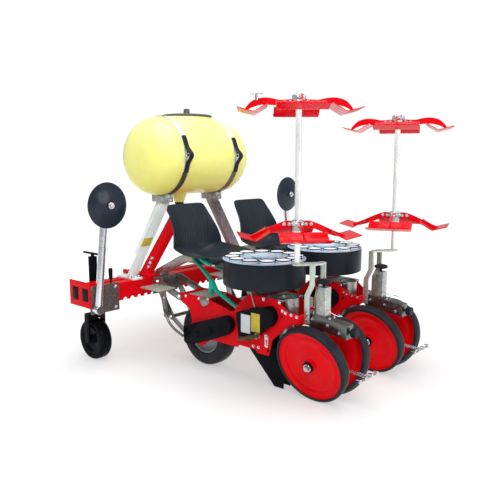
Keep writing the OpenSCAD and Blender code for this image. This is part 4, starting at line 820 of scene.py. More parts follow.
BAND_AT, BAND_HALF, BAND_INNER, BAND_OUTER = 0.255, 0.0225, TANK_RADIUS, TANK_RADIUS + 0.004
BAND_JOIN, BAND_UNDER, BAND_OVER = math.radians(-22), math.radians(150), math.radians(210)


def band_outline(_):
    """The band is as thick everywhere, so it needs no share of its length."""
    return [(-BAND_HALF, BAND_INNER), (BAND_HALF, BAND_INNER), (BAND_HALF, BAND_OUTER), (-BAND_HALF, BAND_OUTER)]


# The part of each band that runs under the tank gets a dark finish of its own: painted shade, while the part over the
# top stays pale zinc.
bands = bmesh.new()
for hand in HAND.values():
    place = TANK_MIDDLE + RIGHT * (BAND_AT * hand)
    arc_band(bands, place, band_outline, BAND_JOIN - BAND_UNDER, BAND_JOIN, 60, 1)
    arc_band(bands, place, band_outline, BAND_JOIN, BAND_OVER + BAND_JOIN, 84, 0)
shaped("tank_bands", bands, ["pale_zinc", "band_painted_shade"], ["tank_straps"])


def block(bm, centre, axes, half, round_by=0.001, material=0, edge=None):
    """Rounded block at any angle: three square directions, half sizes along them, finish of its faces and its edges."""
    corners = bmesh.ops.create_cube(bm, size=2.0)["verts"]
    for v in corners:
        v.co = centre + sum((axes[k] * (v.co[k] * half[k]) for k in range(3)), Vector((0, 0, 0)))
    for f in {f for v in corners for f in v.link_faces}:
        f.material_index = material
    bmesh.ops.bevel(bm, geom=list({e for v in corners for e in v.link_edges}), offset=round_by, segments=2,
                    profile=0.6, affect="EDGES", material=material if edge is None else edge)


TENSION_LOW, TENSION_HIGH, BUCKLE_AT = math.radians(-22), math.radians(31), 0.46


def tension_outline(share):
    lift = BAND_OUTER + 0.0005 + 0.042 * math.exp(-((share - BUCKLE_AT) / 0.145) ** 2)
    half, thick = 0.0185, 0.014
    return [(-half, lift), (half, lift), (half, lift + thick * 0.6), (half * 0.7, lift + thick),
            (-half * 0.7, lift + thick), (-half, lift + thick * 0.6)]


tensioners, hooks = bmesh.new(), bmesh.new()
for hand in HAND.values():
    place = TANK_MIDDLE + RIGHT * (BAND_AT * hand)
    arc_band(tensioners, place, tension_outline, TENSION_LOW, TENSION_HIGH, 56, 0)
    a = TENSION_LOW + (TENSION_HIGH - TENSION_LOW) * BUCKLE_AT
    out, rise = Vector((0, -math.cos(a), math.sin(a))), Vector((0, math.sin(a), math.cos(a)))
    middle = place + out * (BAND_OUTER + 0.010)
    block(hooks, middle, (RIGHT, rise, out), (0.0215, 0.008, 0.0100))
    block(hooks, middle + rise * 0.022, (RIGHT, rise, out), (0.0200, 0.006, 0.0060))
shaped("tank_tensioners", tensioners, ["black_rubber"], ["strap_tensioners"])
shaped("band_hooks", hooks, ["bright_steel"])

# %% [markdown]
# ## Seats
# The seats are moulded plastic buckets: a dished pan with raised sides, a back with fine upright ribs and a rounded lip
# all round. A sheet of points is bent along the side view of the seat, its edges are raised, and Solidify gives it a
# wall. The ribs are real geometry, because they catch the light.

# %% Seats
SEAT_LINE = [(0.744, 0.757), (0.750, 0.772), (0.772, 0.782), (0.835, 0.775), (0.935, 0.763), (1.035, 0.763),
             (1.098, 0.773), (1.132, 0.800), (1.147, 0.850), (1.162, 0.930), (1.177, 1.020), (1.192, 1.098),
             (1.197, 1.112)]
SEAT_COLUMNS, SEAT_ROWS, SEAT_AHEAD, SEAT_WALL = 120, 72, 0.008, 0.009
RIB_PITCH, RIB_DEPTH = 0.022, 0.0022


def along_line(points, share):
    """Point on a smooth curve through points, at a share of its count."""
    place = share * (len(points) - 1)
    i = min(int(place), len(points) - 2)
    t = place - i
    p = [Vector(points[max(0, min(len(points) - 1, k))]) for k in (i - 1, i, i + 1, i + 2)]
    return 0.5 * ((2 * p[1]) + (p[2] - p[0]) * t + (2 * p[0] - 5 * p[1] + 4 * p[2] - p[3]) * t * t
                  + (3 * p[1] - p[0] - 3 * p[2] + p[3]) * t ** 3)


def seat_half(share):
    """Half width of the seat along its line: round at the front lip, narrower to the top with round corners."""
    front = 0.170 + 0.035 * math.sqrt(max(0.0, 1 - (1 - min(1, share / 0.16)) ** 2))
    taper = 0.042 * smooth(0.66, 1.0, share) - 0.016 * math.exp(-((share - 0.62) / 0.10) ** 2)
    corner = 0.052 * (1 - math.sqrt(max(0.0, 1 - smooth(0.86, 1.0, share) ** 2))) if share > 0.86 else 0.0
    return front - taper - corner


def seat_point(u, v):
    y, z = along_line(SEAT_LINE, v)
    before, after = along_line(SEAT_LINE, max(0, v - 0.01)), along_line(SEAT_LINE, min(1, v + 0.01))
    run = (after - before).normalized()
    inward = Vector((-run.y, run.x))
    half = seat_half(v)
    edge = abs(u) ** 3.2
    level = 1 - smooth(0.74, 0.96, v)
    raise_pan = 0.062 * smooth(0.05, 0.42, v) * (1 - smooth(0.60, 0.95, v)) + 0.010 * level
    bolster = raise_pan * edge + 0.030 * smooth(0.55, 0.75, v) * level * edge
    hump = 0.016 * math.exp(-(u / 0.16) ** 2) * smooth(0.02, 0.12, v) * (1 - smooth(0.2, 0.42, v))
    ribs = RIB_DEPTH * (0.5 + 0.5 * math.cos(2 * math.pi * u * half / RIB_PITCH)) * smooth(0.62, 0.68, v)
    ribs *= (1 - smooth(0.93, 0.98, v)) * (1 - smooth(0.78, 0.90, abs(u)))
    lift = bolster + hump + ribs
    return Vector((u * half, y + inward.x * lift, z + inward.y * lift))


def seat_mesh(name, middle):
    bm = bmesh.new()
    grid = [[bm.verts.new(spot(middle, SEAT_AHEAD, 0) + seat_point(2 * i / SEAT_COLUMNS - 1, j / SEAT_ROWS))
             for i in range(SEAT_COLUMNS + 1)] for j in range(SEAT_ROWS + 1)]
    for low, high in zip(grid, grid[1:]):
        for i in range(SEAT_COLUMNS):
            bm.faces.new((low[i], low[i + 1], high[i + 1], high[i]))
    bmesh.ops.recalc_face_normals(bm, faces=bm.faces)
    if sum(f.normal.z for f in bm.faces) < 0:
        bmesh.ops.reverse_faces(bm, faces=bm.faces)
    mesh = bpy.data.meshes.new(name)
    bm.to_mesh(mesh)
    bm.free()
    return mesh


def baked(obj):
    """Mesh of an object after its modifiers."""
    bpy.context.view_layer.update()
    done = obj.evaluated_get(bpy.context.evaluated_depsgraph_get())
    return bpy.data.meshes.new_from_object(done)


def thickened(mesh, wall, name):
    holder = bpy.data.objects.new("holder", mesh)
    bpy.context.scene.collection.objects.link(holder)
    wall_modifier = holder.modifiers.new("wall", "SOLIDIFY")
    wall_modifier.thickness = wall
    wall_modifier.offset = -1
    lip = holder.modifiers.new("lip", "BEVEL")
    lip.width = wall * 0.45
    lip.segments = 3
    lip.limit_method = "ANGLE"
    lip.angle_limit = math.radians(60)
    result = baked(holder)
    bpy.data.objects.remove(holder)
    result.name = name
    return result


seat_join = bmesh.new()
for middle in UNITS.values():
    seat_join.from_mesh(thickened(seat_mesh("seat_sheet", middle), SEAT_WALL, "seat_shell"))
seats_mesh = bpy.data.meshes.new("seats_moulded")
seat_join.to_mesh(seats_mesh)
seat_join.free()
close_piece("seats_moulded", seats_mesh, "machine", ["seat_plastic"], ["seats"])
print("seat points", len(seats_mesh.vertices))

# %% [markdown]
# ## Carousels
# A carousel is a black drum with a bright star-shaped plate on top and a ring of plant cups. Every cup is the same, so
# its places are marked on a circle and a Geometry Nodes tree puts one cup on each, then Realize Instances and Set
# Material, because the finished piece has to be one plain mesh.


# %% A tree that repeats a shape on marked points
def set_input(modifier, tree, label, value):
    key = next(s.identifier for s in tree.interface.items_tree if s.name == label and s.in_out == "INPUT")
    modifier[key] = value


def make_repeat_tree():
    """One shape on every point, turned to the point's aim and scaled by its size."""
    tree = bpy.data.node_groups.new("repeat_on_points", "GeometryNodeTree")
    for label, kind, way in (("Geometry", "NodeSocketGeometry", "INPUT"), ("Shape", "NodeSocketObject", "INPUT"),
                             ("Finish", "NodeSocketMaterial", "INPUT"), ("Geometry", "NodeSocketGeometry", "OUTPUT")):
        tree.interface.new_socket(label, in_out=way, socket_type=kind)
    gin, gout = tree.nodes.new("NodeGroupInput"), tree.nodes.new("NodeGroupOutput")
    aim = add_node(tree, "GeometryNodeInputNamedAttribute", {"Name": "aim"}, data_type="FLOAT_VECTOR")
    size = add_node(tree, "GeometryNodeInputNamedAttribute", {"Name": "size"}, data_type="FLOAT")
    turn = add_node(tree, "FunctionNodeAlignRotationToVector", axis="Z")
    shape = add_node(tree, "GeometryNodeObjectInfo")
    place = add_node(tree, "GeometryNodeInstanceOnPoints")
    real = add_node(tree, "GeometryNodeRealizeInstances")
    paint = add_node(tree, "GeometryNodeSetMaterial")
    wire(tree, (aim, "Attribute", turn, "Vector"), (gin, "Shape", shape, "Object"),
         (gin, "Geometry", place, "Points"), (shape, "Geometry", place, "Instance"),
         (turn, "Rotation", place, "Rotation"), (size, "Attribute", place, "Scale"),
         (place, "Instances", real, "Geometry"), (real, "Geometry", paint, "Geometry"),
         (gin, "Finish", paint, "Material"), (paint, "Geometry", gout, "Geometry"))
    return tree


REPEAT = make_repeat_tree()


def template(name, mesh):
    """A shape for repeating, kept out of the scene."""
    return bpy.data.objects.new(name, mesh)


def repeated(name, shape, rows, finish_name, body):
    """One piece from rows of (place, aim, size), all with the same shape."""
    points = bpy.data.meshes.new(name + "_points")
    points.from_pydata([tuple(row[0]) for row in rows], [], [])
    points.attributes.new("aim", "FLOAT_VECTOR", "POINT")
    points.attributes.new("size", "FLOAT", "POINT")
    points.attributes["aim"].data.foreach_set("vector", [v for row in rows for v in row[1]])
    points.attributes["size"].data.foreach_set("value", [row[2] for row in rows])
    holder = bpy.data.objects.new(name + "_points", points)
    bpy.context.scene.collection.objects.link(holder)
    modifier = holder.modifiers.new("repeat", "NODES")
    modifier.node_group = REPEAT
    set_input(modifier, REPEAT, "Shape", shape)
    set_input(modifier, REPEAT, "Finish", FINISH[finish_name])
    mesh = baked(holder)
    bpy.data.objects.remove(holder)
    mesh.name = name
    mesh.materials.clear()
    return close_piece(name, mesh, body, [finish_name])


print("repeat tree ready")

# %% Drums, plates and cups
CAROUSEL_Y, DRUM_LOW, DRUM_TOP = 0.480, 0.642, 0.802
CUPS, CUP_CIRCLE, CUP_SINK, STAR_EDGE = 12, 0.200, 0.0005, 0.0008
DRUM = [(DRUM_LOW, 0.020), (DRUM_LOW, 0.250), (DRUM_LOW + 0.004, 0.257), (DRUM_LOW + 0.012, 0.2596),
        (DRUM_TOP - 0.014, 0.2596), (DRUM_TOP - 0.004, 0.2585), (DRUM_TOP + 0.004, 0.2545),
        (DRUM_TOP + 0.005, 0.2520), (DRUM_TOP + 0.004, 0.2500), (DRUM_TOP - 0.006, 0.2490),
        (DRUM_LOW + 0.010, 0.2490), (DRUM_LOW + 0.010, 0.020)]
PLATE_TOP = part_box("carousel_top_left")[1].z
CENTRE_CAP = [(PLATE_TOP - 0.0010, 0.0), (PLATE_TOP - 0.0010, 0.078), (PLATE_TOP + 0.0040, 0.078),
              (PLATE_TOP + 0.0055, 0.074), (PLATE_TOP + 0.0030, 0.070), (PLATE_TOP + 0.0030, 0.050),
              (PLATE_TOP + 0.0075, 0.048), (PLATE_TOP + 0.0090, 0.044), (PLATE_TOP + 0.0090, 0.0)]


def small_turned(name, profile, closed, steps=32):
    """Shape for repeating: turned round the upright line at the origin."""
    bm = bmesh.new()
    spin(bm, profile, Vector((0, 0, 0)), UP, steps, closed)
    return template(name, mesh_from(bm, name))


# Each cup's mouth has a black ring round it, standing in for the shade along the top of the cup's far wall: painted
# shade.
cup_rim = small_turned("cup_rim", [(0.000, 0.0450), (0.000, 0.0512), (0.004, 0.0512), (0.0058, 0.0500),
                                   (0.0058, 0.0462), (0.0045, 0.0450)], True)
cup_wall = small_turned("cup_wall", [(-0.118, 0.0), (-0.118, 0.0330), (-0.040, 0.0415), (0.0035, 0.0428),
                                     (0.0035, 0.0449), (-0.040, 0.0436), (-0.122, 0.0345), (-0.122, 0.0)], False)
for side, middle in UNITS.items():
    foot, body = spot(middle, CAROUSEL_Y, 0), f"carousel_{side}"
    turned(f"carousel_drum_{side}_turned", [(DRUM, foot, UP, True, 0)], body, ["drum_plastic"],
           [f"carousel_drum_{side}"], 128)
    close_piece(f"carousel_top_{side}_plate", softened_mesh(f"carousel_top_{side}", STAR_EDGE, "plate"), body,
                ["star_plate_painted_sky"], [f"carousel_top_{side}"])
    turned(f"carousel_cap_{side}", [(CENTRE_CAP, foot, UP, False, 0)], body, ["cap_plate_painted_sky"])
    angles = [2 * math.pi * (i + 0.5) / CUPS for i in range(CUPS)]
    ring = [(foot + Vector((CUP_CIRCLE * math.cos(a), CUP_CIRCLE * math.sin(a), PLATE_TOP - CUP_SINK)), tuple(UP), 1.0)
            for a in angles]
    repeated(f"cup_rims_{side}", cup_rim, ring, "gloss_black", body)
    repeated(f"cup_walls_{side}", cup_wall, ring, "cup_white", body)
print("cups", CUPS * len(UNITS))

# %% [markdown]
# ## Knobs
# Each press arm has a flat round knob on top that sets its depth and a plain knob at its rear end. Both are turned.

# %% Knobs
KNOB_TOP = [(0.000, 0.0), (0.000, 0.0085), (0.016, 0.0085), (0.017, 0.0220), (0.021, 0.0370), (0.025, 0.0432),
            (0.032, 0.0446), (0.038, 0.0425), (0.043, 0.0330), (0.047, 0.0180), (0.0485, 0.0)]
KNOB_REAR = [(0.000, 0.0), (0.000, 0.0080), (0.014, 0.0080), (0.015, 0.0240), (0.018, 0.0272), (0.046, 0.0278),
             (0.0495, 0.0250), (0.0500, 0.0)]
turned("depth_knobs_turned", [part for middle in UNITS.values() for part in (
    (KNOB_TOP, spot(middle, 0.030, 0.685), UP, False, 0),
    (KNOB_REAR, spot(middle, -0.150, 0.450), BACKWARD, False, 0))],
       "machine", ["drum_plastic"], ["depth_knobs"], 48)
print("knobs", 2 * len(UNITS))

# %% [markdown]
# ## Water hoses
# A green hose starts under each seat, bends down to a branch fitting and ends inside the side plate of its planting
# unit. A third length crosses from under the left seat to the right one and sags between them. Each is one smooth curve
# with a round section, so the light runs along it without a break.

# %% Hoses
HOSE_RADIUS, HOSE_STEPS, CROSS_STEPS = 0.0135, 37, 33


def curve_points(points, count):
    return [along_line(points, i / (count - 1)) for i in range(count)]


def laid_path(route, middle, count):
    """Smooth path through a route of places, moved sideways to a unit."""
    return [spot(middle, 0, 0) + p for p in curve_points(route, count)]


def tube_mesh(name, path, radius, sides=20):
    """Closed tube along a path; the section is carried along without twisting."""
    bm = bmesh.new()
    rings, side = [], None
    for i, point in enumerate(path):
        run = (path[min(i + 1, len(path) - 1)] - path[max(i - 1, 0)]).normalized()
        side = cross_pair(run)[0] if side is None else (side - run * side.dot(run)).normalized()
        other = run.cross(side)
        rings.append([bm.verts.new(point + (side * math.cos(a) + other * math.sin(a)) * radius)
                      for a in (2 * math.pi * k / sides for k in range(sides))])
    join_rings(bm, rings)
    return mesh_from(bm, name)


def path_length(path):
    return sum((b - a).length for a, b in zip(path, path[1:]))


def hose_piece(name, path, stands_for=()):
    hose = close_piece(name, tube_mesh(name, path, HOSE_RADIUS), "machine", ["hose"], stands_for)
    print(name, round(path_length(path), 3), "m")


HOSE_ROUTE = [(-0.0450, 1.079, 0.741), (-0.0550, 1.031, 0.717), (-0.0650, 0.951, 0.670),
              (-0.0720, 0.882, 0.621), (-0.0780, 0.860, 0.585), (-0.0820, 0.817, 0.559),
              (-0.0860, 0.732, 0.521), (-0.0880, 0.646, 0.486), (-0.0880, 0.607, 0.471)]
CROSS_ROUTE = [(-0.458, 0.925, 0.765), (-0.433, 0.917, 0.7535), (-0.368, 0.915, 0.7215), (-0.271, 0.915, 0.6765),
               (-0.140, 0.915, 0.643), (0.0, 0.915, 0.630), (0.140, 0.915, 0.643), (0.271, 0.915, 0.6765),
               (0.368, 0.915, 0.7215), (0.433, 0.917, 0.7535), (0.458, 0.925, 0.765)]
for side, middle in UNITS.items():
    hose_piece(f"hose_{side}", laid_path(HOSE_ROUTE, middle, HOSE_STEPS), ["water_hoses"])
hose_piece("hose_across", laid_path(CROSS_ROUTE, 0, CROSS_STEPS))

# %% Branch fittings
SLEEVES = ((14, 21, 0.0195), (15, 16, 0.0225), (19, 20, 0.0225))
BRANCH = [(0.0, 0.0), (0.0, 0.0195), (0.066, 0.0195), (0.071, 0.0160), (0.071, 0.0)]
BRANCH_STEP, BRANCH_AIM = 16, Vector((0.0, 0.25, -1.0)).normalized()
branches = bmesh.new()
for middle in UNITS.values():
    path = laid_path(HOSE_ROUTE, middle, HOSE_STEPS)
    for i, j, wide in SLEEVES:
        line = path[j] - path[i]
        spin(branches, [(0.0, 0.0), (0.0, wide), (line.length, wide), (line.length, 0.0)], path[i], line, 24, False)
    spin(branches, BRANCH, path[BRANCH_STEP], BRANCH_AIM, 24, False)
shaped("hose_fittings", branches, ["hose"])
print("fittings", len(UNITS))

# %% [markdown]
# ## Fasteners
# Bolts hold every plate. One bolt head with its washer is drawn once and a Geometry Nodes tree repeats it on marked
# points, each with its own direction and size. The tables list where the photograph shows them; the sides that it
# doesn't show get the same.


# %% Bolt shape
def bolt_template():
    """Six-sided head on a washer, one unit across the flats, standing on the origin and looking up."""
    bm = bmesh.new()
    washer = [(0.0, 0.0), (0.0, 0.80), (0.10, 0.84), (0.16, 0.80), (0.16, 0.0)]
    spin(bm, washer, Vector((0, 0, 0)), UP, 20, False)
    head = [(0.16, 0.0), (0.16, 0.577), (0.54, 0.577), (0.62, 0.50), (0.62, 0.0)]
    spin(bm, head, Vector((0, 0, 0)), UP, 6, False)
    shank = [(0.62, 0.0), (0.62, 0.28), (0.78, 0.26), (0.80, 0.0)]
    spin(bm, shank, Vector((0, 0, 0)), UP, 12, False)
    mesh = bpy.data.meshes.new("bolt")
    bmesh.ops.recalc_face_normals(bm, faces=bm.faces)
    bm.to_mesh(mesh)
    bm.free()
    return template("bolt", mesh)


BOLT = bolt_template()
print("bolt faces", len(BOLT.data.polygons))

# %% Bolts on the frame
PLATE_OUT, STRIP_OUT, STRIP_AT, STRIP_ENDS = 0.108, 0.1135, 0.366, (0.290, 0.340)
PLATE_BOLTS = [(1.191, 0.478), (1.094, 0.487), (0.964, 0.489), (0.393, 0.574), (0.269, 0.572), (0.248, 0.525),
               (0.225, 0.515), (0.182, 0.511), (0.142, 0.506), (0.375, 0.351), (0.476, 0.262), (0.434, 0.262)]
BOTH, LEFT_ONLY = (-1, 1), (-1,)
# Rows of distance from the unit's middle, the sides that have the bolts, size across the flats, and places (y, z).
UNIT_BOLTS = [
    (PLATE_OUT, BOTH, 0.012, PLATE_BOLTS),
    (0.116, LEFT_ONLY, 0.018, ((1.158, 0.475), (1.385, 0.550))),
    (PLATE_OUT, LEFT_ONLY, 0.018, ((1.257, 0.312), (1.390, 0.500))),
    (0.035, BOTH, 0.014, ((0.085, 0.490), (-0.020, 0.470), (-0.100, 0.440))),
    (0.0585, BOTH, 0.013, ((0.108, 0.490), (0.108, 0.520))),
    (STRIP_OUT, LEFT_ONLY, 0.014, [(STRIP_AT, z) for z in STRIP_ENDS]),
]
ARM_TOP = [(x, y, 0.530 - 0.040 * (0.126 - y) / 0.276) for y in (0.085, -0.030) for x in (-0.022, 0.022)]
BRACKET_ENDS = {-1: -0.968, 1: 1.148}
BRACKET_BOLTS = ((0.195, 0.560), (0.195, 0.418), (0.085, 0.565), (0.085, 0.415))
rows = []
for middle in UNITS.values():
    for out, hands, size, places in UNIT_BOLTS:
        rows += [(spot(middle + hand * out, y, z), (hand, 0, 0), size) for hand in hands for y, z in places]
    rows += [(spot(middle + x, y, z), tuple(UP), 0.014) for x, y, z in ARM_TOP]
for hand, end in BRACKET_ENDS.items():
    rows += [(spot(end - hand * x, 1.430, z), tuple(BACKWARD), 0.017) for x, z in BRACKET_BOLTS]
print("frame bolts", len(rows))
repeated("frame_bolts", BOLT, rows, "bright_steel", "machine")

# %% Bolts on axles, legs and hitch
SADDLE_BOLTS = ((BAND_AT - 0.018, 1.150), (BAND_AT + 0.018, 1.150), (BAND_AT, 1.122))
FOOT_BOLTS = [(x, y) for x in (0.550, 0.600) for y in (1.465, 1.500)]
HITCH_BOLTS = ((0.435, 0.640), (0.418, 0.670), (0.400, 0.700))
HUB_FACE = 0.0450
rows = []
for wheel in PRESS_WHEELS:
    line = joint_line(f"press_{wheel}_spin")
    rows.append((joint_spot(f"press_{wheel}_spin") + line * HUB_FACE, tuple(line), 0.030))
for hand in HAND.values():
    rows += [(spot(hand * x, 1.4525, z), tuple(BACKWARD), 0.015) for x, z in SADDLE_BOLTS]
    rows += [(spot(hand * x, y, 0.589), tuple(UP), 0.017) for x, y in FOOT_BOLTS]
    rows += [(spot(hand * x, 1.4975, z), tuple(BACKWARD), 0.017) for x, z in HITCH_BOLTS]
repeated("axle_bolts", BOLT, rows, "bright_steel", "machine")
for side in HAND:
    line = joint_line(f"marker_disc_{side}_spin")
    middle = joint_spot(f"marker_disc_{side}_spin")
    repeated(f"marker_bolt_{side}", BOLT, [(middle - line * 0.0335, tuple(-line), 0.024)], "bright_steel",
             f"marker_{side}")

# %% [markdown]
# ## Tray tiers
# Each tier carries four folded trays on arms of plate that stand on edge, bolted to a bright hub. The photograph shows
# two sorts of arm, an arched one and a sloping one. One arm and one tray are outlined from the side and given their
# width, and the tier turns them by a quarter each time.

# %% Arms, trays and hubs
TIER_REST = {1: 47, 2: 41, 3: 20, 4: 25}
ARCHED = ([(0.030, 0.006), (0.070, 0.002), (0.110, 0.001), (0.153, 0.010), (0.204, 0.0125), (0.255, -0.002),
           (0.290, -0.034), (0.303, -0.056)],
          [(0.288, -0.058), (0.268, -0.044), (0.240, -0.034), (0.204, -0.026), (0.153, -0.027), (0.110, -0.030),
           (0.070, -0.026), (0.030, -0.024)])
SLOPING = ([(0.030, 0.024), (0.068, 0.025), (0.110, 0.012), (0.160, -0.010), (0.220, -0.037), (0.268, -0.057),
            (0.284, -0.066)],
           [(0.258, -0.071), (0.220, -0.066), (0.160, -0.047), (0.110, -0.027), (0.068, -0.012), (0.030, -0.012)])
ARMS = {1: SLOPING, 2: ARCHED, 3: SLOPING, 4: ARCHED}
ARM_HALF, TRAY_HALF, TRAY_SHEET = 0.0035, 0.134, 0.0045
TRAY_FOLD = [(0.172, -0.026), (0.180, -0.034), (0.243, -0.0715), (0.252, -0.0738), (0.262, -0.0710), (0.332, -0.0525),
             (0.340, -0.0500)]
HUB = mirrored([(-0.0300, 0.0190), (-0.0300, 0.0290), (-0.0285, 0.0300)])
ARM_BOLTS, ARM_STEPS, QUARTERS = (0.048, 0.078), 22, 4


def side_plate(bm, outline, hub, out, across, half):
    """Plate from an outline of (distance out, height), given a width across."""
    join_rings(bm, [[bm.verts.new(hub + out * r + UP * z + across * d) for r, z in outline] for d in (-half, half)])


for tier, rest in TIER_REST.items():
    hub = joint_spot(f"tier_{tier}_turn")
    top, low = ARMS[tier]
    arm = curve_points(top, ARM_STEPS) + curve_points(low, ARM_STEPS)
    bolt_places = [(r, (top[i][1] + low[-1 - i][1]) / 2) for i, r in enumerate(ARM_BOLTS)]
    bm, rows = bmesh.new(), []
    for k in range(QUARTERS):
        a = math.radians(rest + 90 * k)
        out = Vector((math.cos(a), math.sin(a), 0))
        across = Vector((-out.y, out.x, 0))
        side_plate(bm, arm, hub, out, across, ARM_HALF)
        side_plate(bm, TRAY_FOLD + [(r, z + TRAY_SHEET) for r, z in reversed(TRAY_FOLD)], hub, out, across, TRAY_HALF)
        rows += [(hub + out * r + across * (s * ARM_HALF) + UP * z, tuple(across * s), 0.012)
                 for r, z in bolt_places for s in BOTH]
    spin(bm, HUB, hub, UP, 40, True, 1)
    body = f"tray_tier_{tier}"
    shaped(f"{body}_folded", bm, ["tray_red", "zinc"], [body], body)
    repeated(f"tier_bolts_{tier}", BOLT, rows, "bright_steel", body)
print("tiers", len(TIER_REST))

# %% [markdown]
# ## Chain cases
# Two black covers hide the chains of each unit. They bulge in places, so each is outlined from the side, given its
# depth and rounded along its outer rim.

# %% Chain cases
CASE_SPAN, CASE_ROUND = (-0.158, -0.108), 0.007
LOW_CASE = [(1.074, 0.288), (0.973, 0.325), (0.849, 0.369), (0.730, 0.410), (0.700, 0.419), (0.675, 0.422),
            (0.653, 0.414), (0.634, 0.395), (0.627, 0.369), (0.638, 0.339), (0.659, 0.313), (0.689, 0.291),
            (0.791, 0.250), (0.913, 0.203), (0.989, 0.178), (1.043, 0.167), (1.069, 0.182)]
TOP_CASE = [(0.584, 0.465), (0.567, 0.475), (0.487, 0.497), (0.461, 0.515), (0.404, 0.521), (0.371, 0.533),
            (0.339, 0.542), (0.314, 0.539), (0.292, 0.522), (0.279, 0.498), (0.278, 0.474), (0.289, 0.447),
            (0.311, 0.423), (0.363, 0.388), (0.399, 0.359), (0.440, 0.326), (0.476, 0.307), (0.530, 0.299),
            (0.549, 0.299), (0.560, 0.312)]


def outline_case(bm, outline, middle):
    """Moulded cover from a (y, z) outline, its outer rim rounded."""
    rims = [[bm.verts.new(spot(middle + x, y, z)) for y, z in outline] for x in CASE_SPAN]
    face = join_rings(bm, rims)[0]
    bmesh.ops.bevel(bm, geom=list(face.edges), offset=CASE_ROUND, segments=3, profile=0.5, affect="EDGES")


cases = bmesh.new()
for middle in UNITS.values():
    outline_case(cases, LOW_CASE, middle)
    outline_case(cases, TOP_CASE, middle)
shaped("chain_cases_moulded", cases, ["gloss_black"], ["chain_cases"])
print("chain cases", 2 * len(UNITS))

# %% [markdown]
# ## Small fittings
# A lever grip and two blank plates on the upper chain case, a ribbed spring cap on the side plate, a handle by the left
# bracket, and bent wire clips on the press arms. Plates that carry words on the real machine are left blank.

# %% Blank plates and grips
CASE_FACE, LABEL_ROUND = CASE_SPAN[0], 0.0004
LABELS = (((0.458, 0.354), (0.534, 0.470)), ((0.381, 0.374), (0.450, 0.490)))
GRIP_OUT, GRIP_LOW, GRIP_HIGH = 0.020, (0.540, 0.312), (0.375, 0.362)


def slab(bm, low, high, round_by, material):
    """Block between two corners, its sides along the axes and its edges in the first finish."""
    block(bm, (low + high) / 2, SQUARE, (high - low) / 2, round_by, material, 0)


labels = bmesh.new()
for middle in UNITS.values():
    face = middle + CASE_FACE
    for i, (low, high) in enumerate(LABELS):
        slab(labels, spot(face - 0.0015, *low), spot(face + 0.0005, *high), LABEL_ROUND, i)
shaped("blank_plates", labels, ["white_plate", "yellow_plate"])
grips = bmesh.new()
for middle in UNITS.values():
    face = middle + CASE_FACE
    low, high = spot(face - GRIP_OUT, *GRIP_LOW), spot(face - GRIP_OUT, *GRIP_HIGH)
    line = high - low
    spin(grips, [(0.0, 0.0), (0.0, 0.0100), (0.004, 0.0120), (line.length - 0.02, 0.0120), (line.length, 0.0080),
                 (line.length, 0.0)], low, line, 24, False, 0)
    slab(grips, spot(face - 0.022, 0.385, 0.340), spot(face + 0.004, 0.405, 0.372), 0.002, 1)
shaped("case_grips", grips, ["brass_grip", "zinc"])

# %% Spring caps, handle and wire clips
caps = bmesh.new()
CAP_RIDGES = [(0.0, 0.0), (0.0, 0.030)] + [(0.004 + 0.004 * i, 0.031 if i % 2 else 0.027) for i in range(6)] + [
    (0.028, 0.024), (0.030, 0.018), (0.030, 0.0)]
for middle in UNITS.values():
    spin(caps, CAP_RIDGES, spot(middle - PLATE_OUT, 0.896, 0.482), LEFT, 48, False)
shaped("spring_caps", caps, ["dark_zinc"])
handle = bmesh.new()
HANDLE = [(0.0, 0.0), (0.0, 0.005), (0.030, 0.005), (0.031, 0.0105), (0.036, 0.0130), (0.095, 0.0145), (0.104, 0.0130),
          (0.108, 0.0080), (0.109, 0.0)]
spin(handle, HANDLE, spot(-0.782, 1.470, 0.575), UP, 32, False)
shaped("bracket_handle", handle, ["black_plastic"])
CLIP_ROUTE = [(0.010, 0.060, 0.538), (-0.012, 0.030, 0.560), (-0.016, -0.010, 0.552), (-0.004, -0.060, 0.530),
              (0.014, -0.090, 0.528), (0.020, -0.060, 0.532)]
clips = bmesh.new()
for middle in UNITS.values():
    clips.from_mesh(tube_mesh("clip", laid_path(CLIP_ROUTE, middle, 30), 0.003, 10))
shaped("wire_clips", clips, ["bright_steel"])

# %% [markdown]
# ## Levers, bosses and clamps
# Each unit hangs on a flat lever with a long hole and a bent link below it. The lever is a ring of faces between two
# outlines, one for the edge and one for the hole, which is the simplest clean way to cut a hole in a plate.


# %% Levers with their links
def holed_plate(bm, x, thick, low, high, half, hole_at, hole_half, steps=40):
    """Round-ended plate between two (y, z) points, square to X, with an oval hole at a share of its length."""
    low, high = Vector(low), Vector(high)
    run = (high - low).normalized()
    side = Vector((-run.y, run.x))
    middle = low + (high - low) * hole_at
    ends = (-(middle - low).length, (high - middle).length)
    loops = []
    for i in range(steps):
        a = 2 * math.pi * i / steps
        c, s = math.cos(a), math.sin(a)
        reach = half / max(abs(s), 1e-6)
        along = reach * c
        if not ends[0] < along < ends[1]:
            end = ends[1] if c > 0 else ends[0]
            reach = c * end + math.sqrt(max(0.0, half * half - (s * end) ** 2))
        edge = middle + run * (reach * c) + side * (reach * s)
        hole = middle + run * (hole_half[0] * c) + side * (hole_half[1] * s)
        loops.append([bm.verts.new(spot(x + d, p.x, p.y))
                      for d, p in ((0, edge), (0, hole), (thick, hole), (thick, edge))])
    join_rings(bm, loops, True)


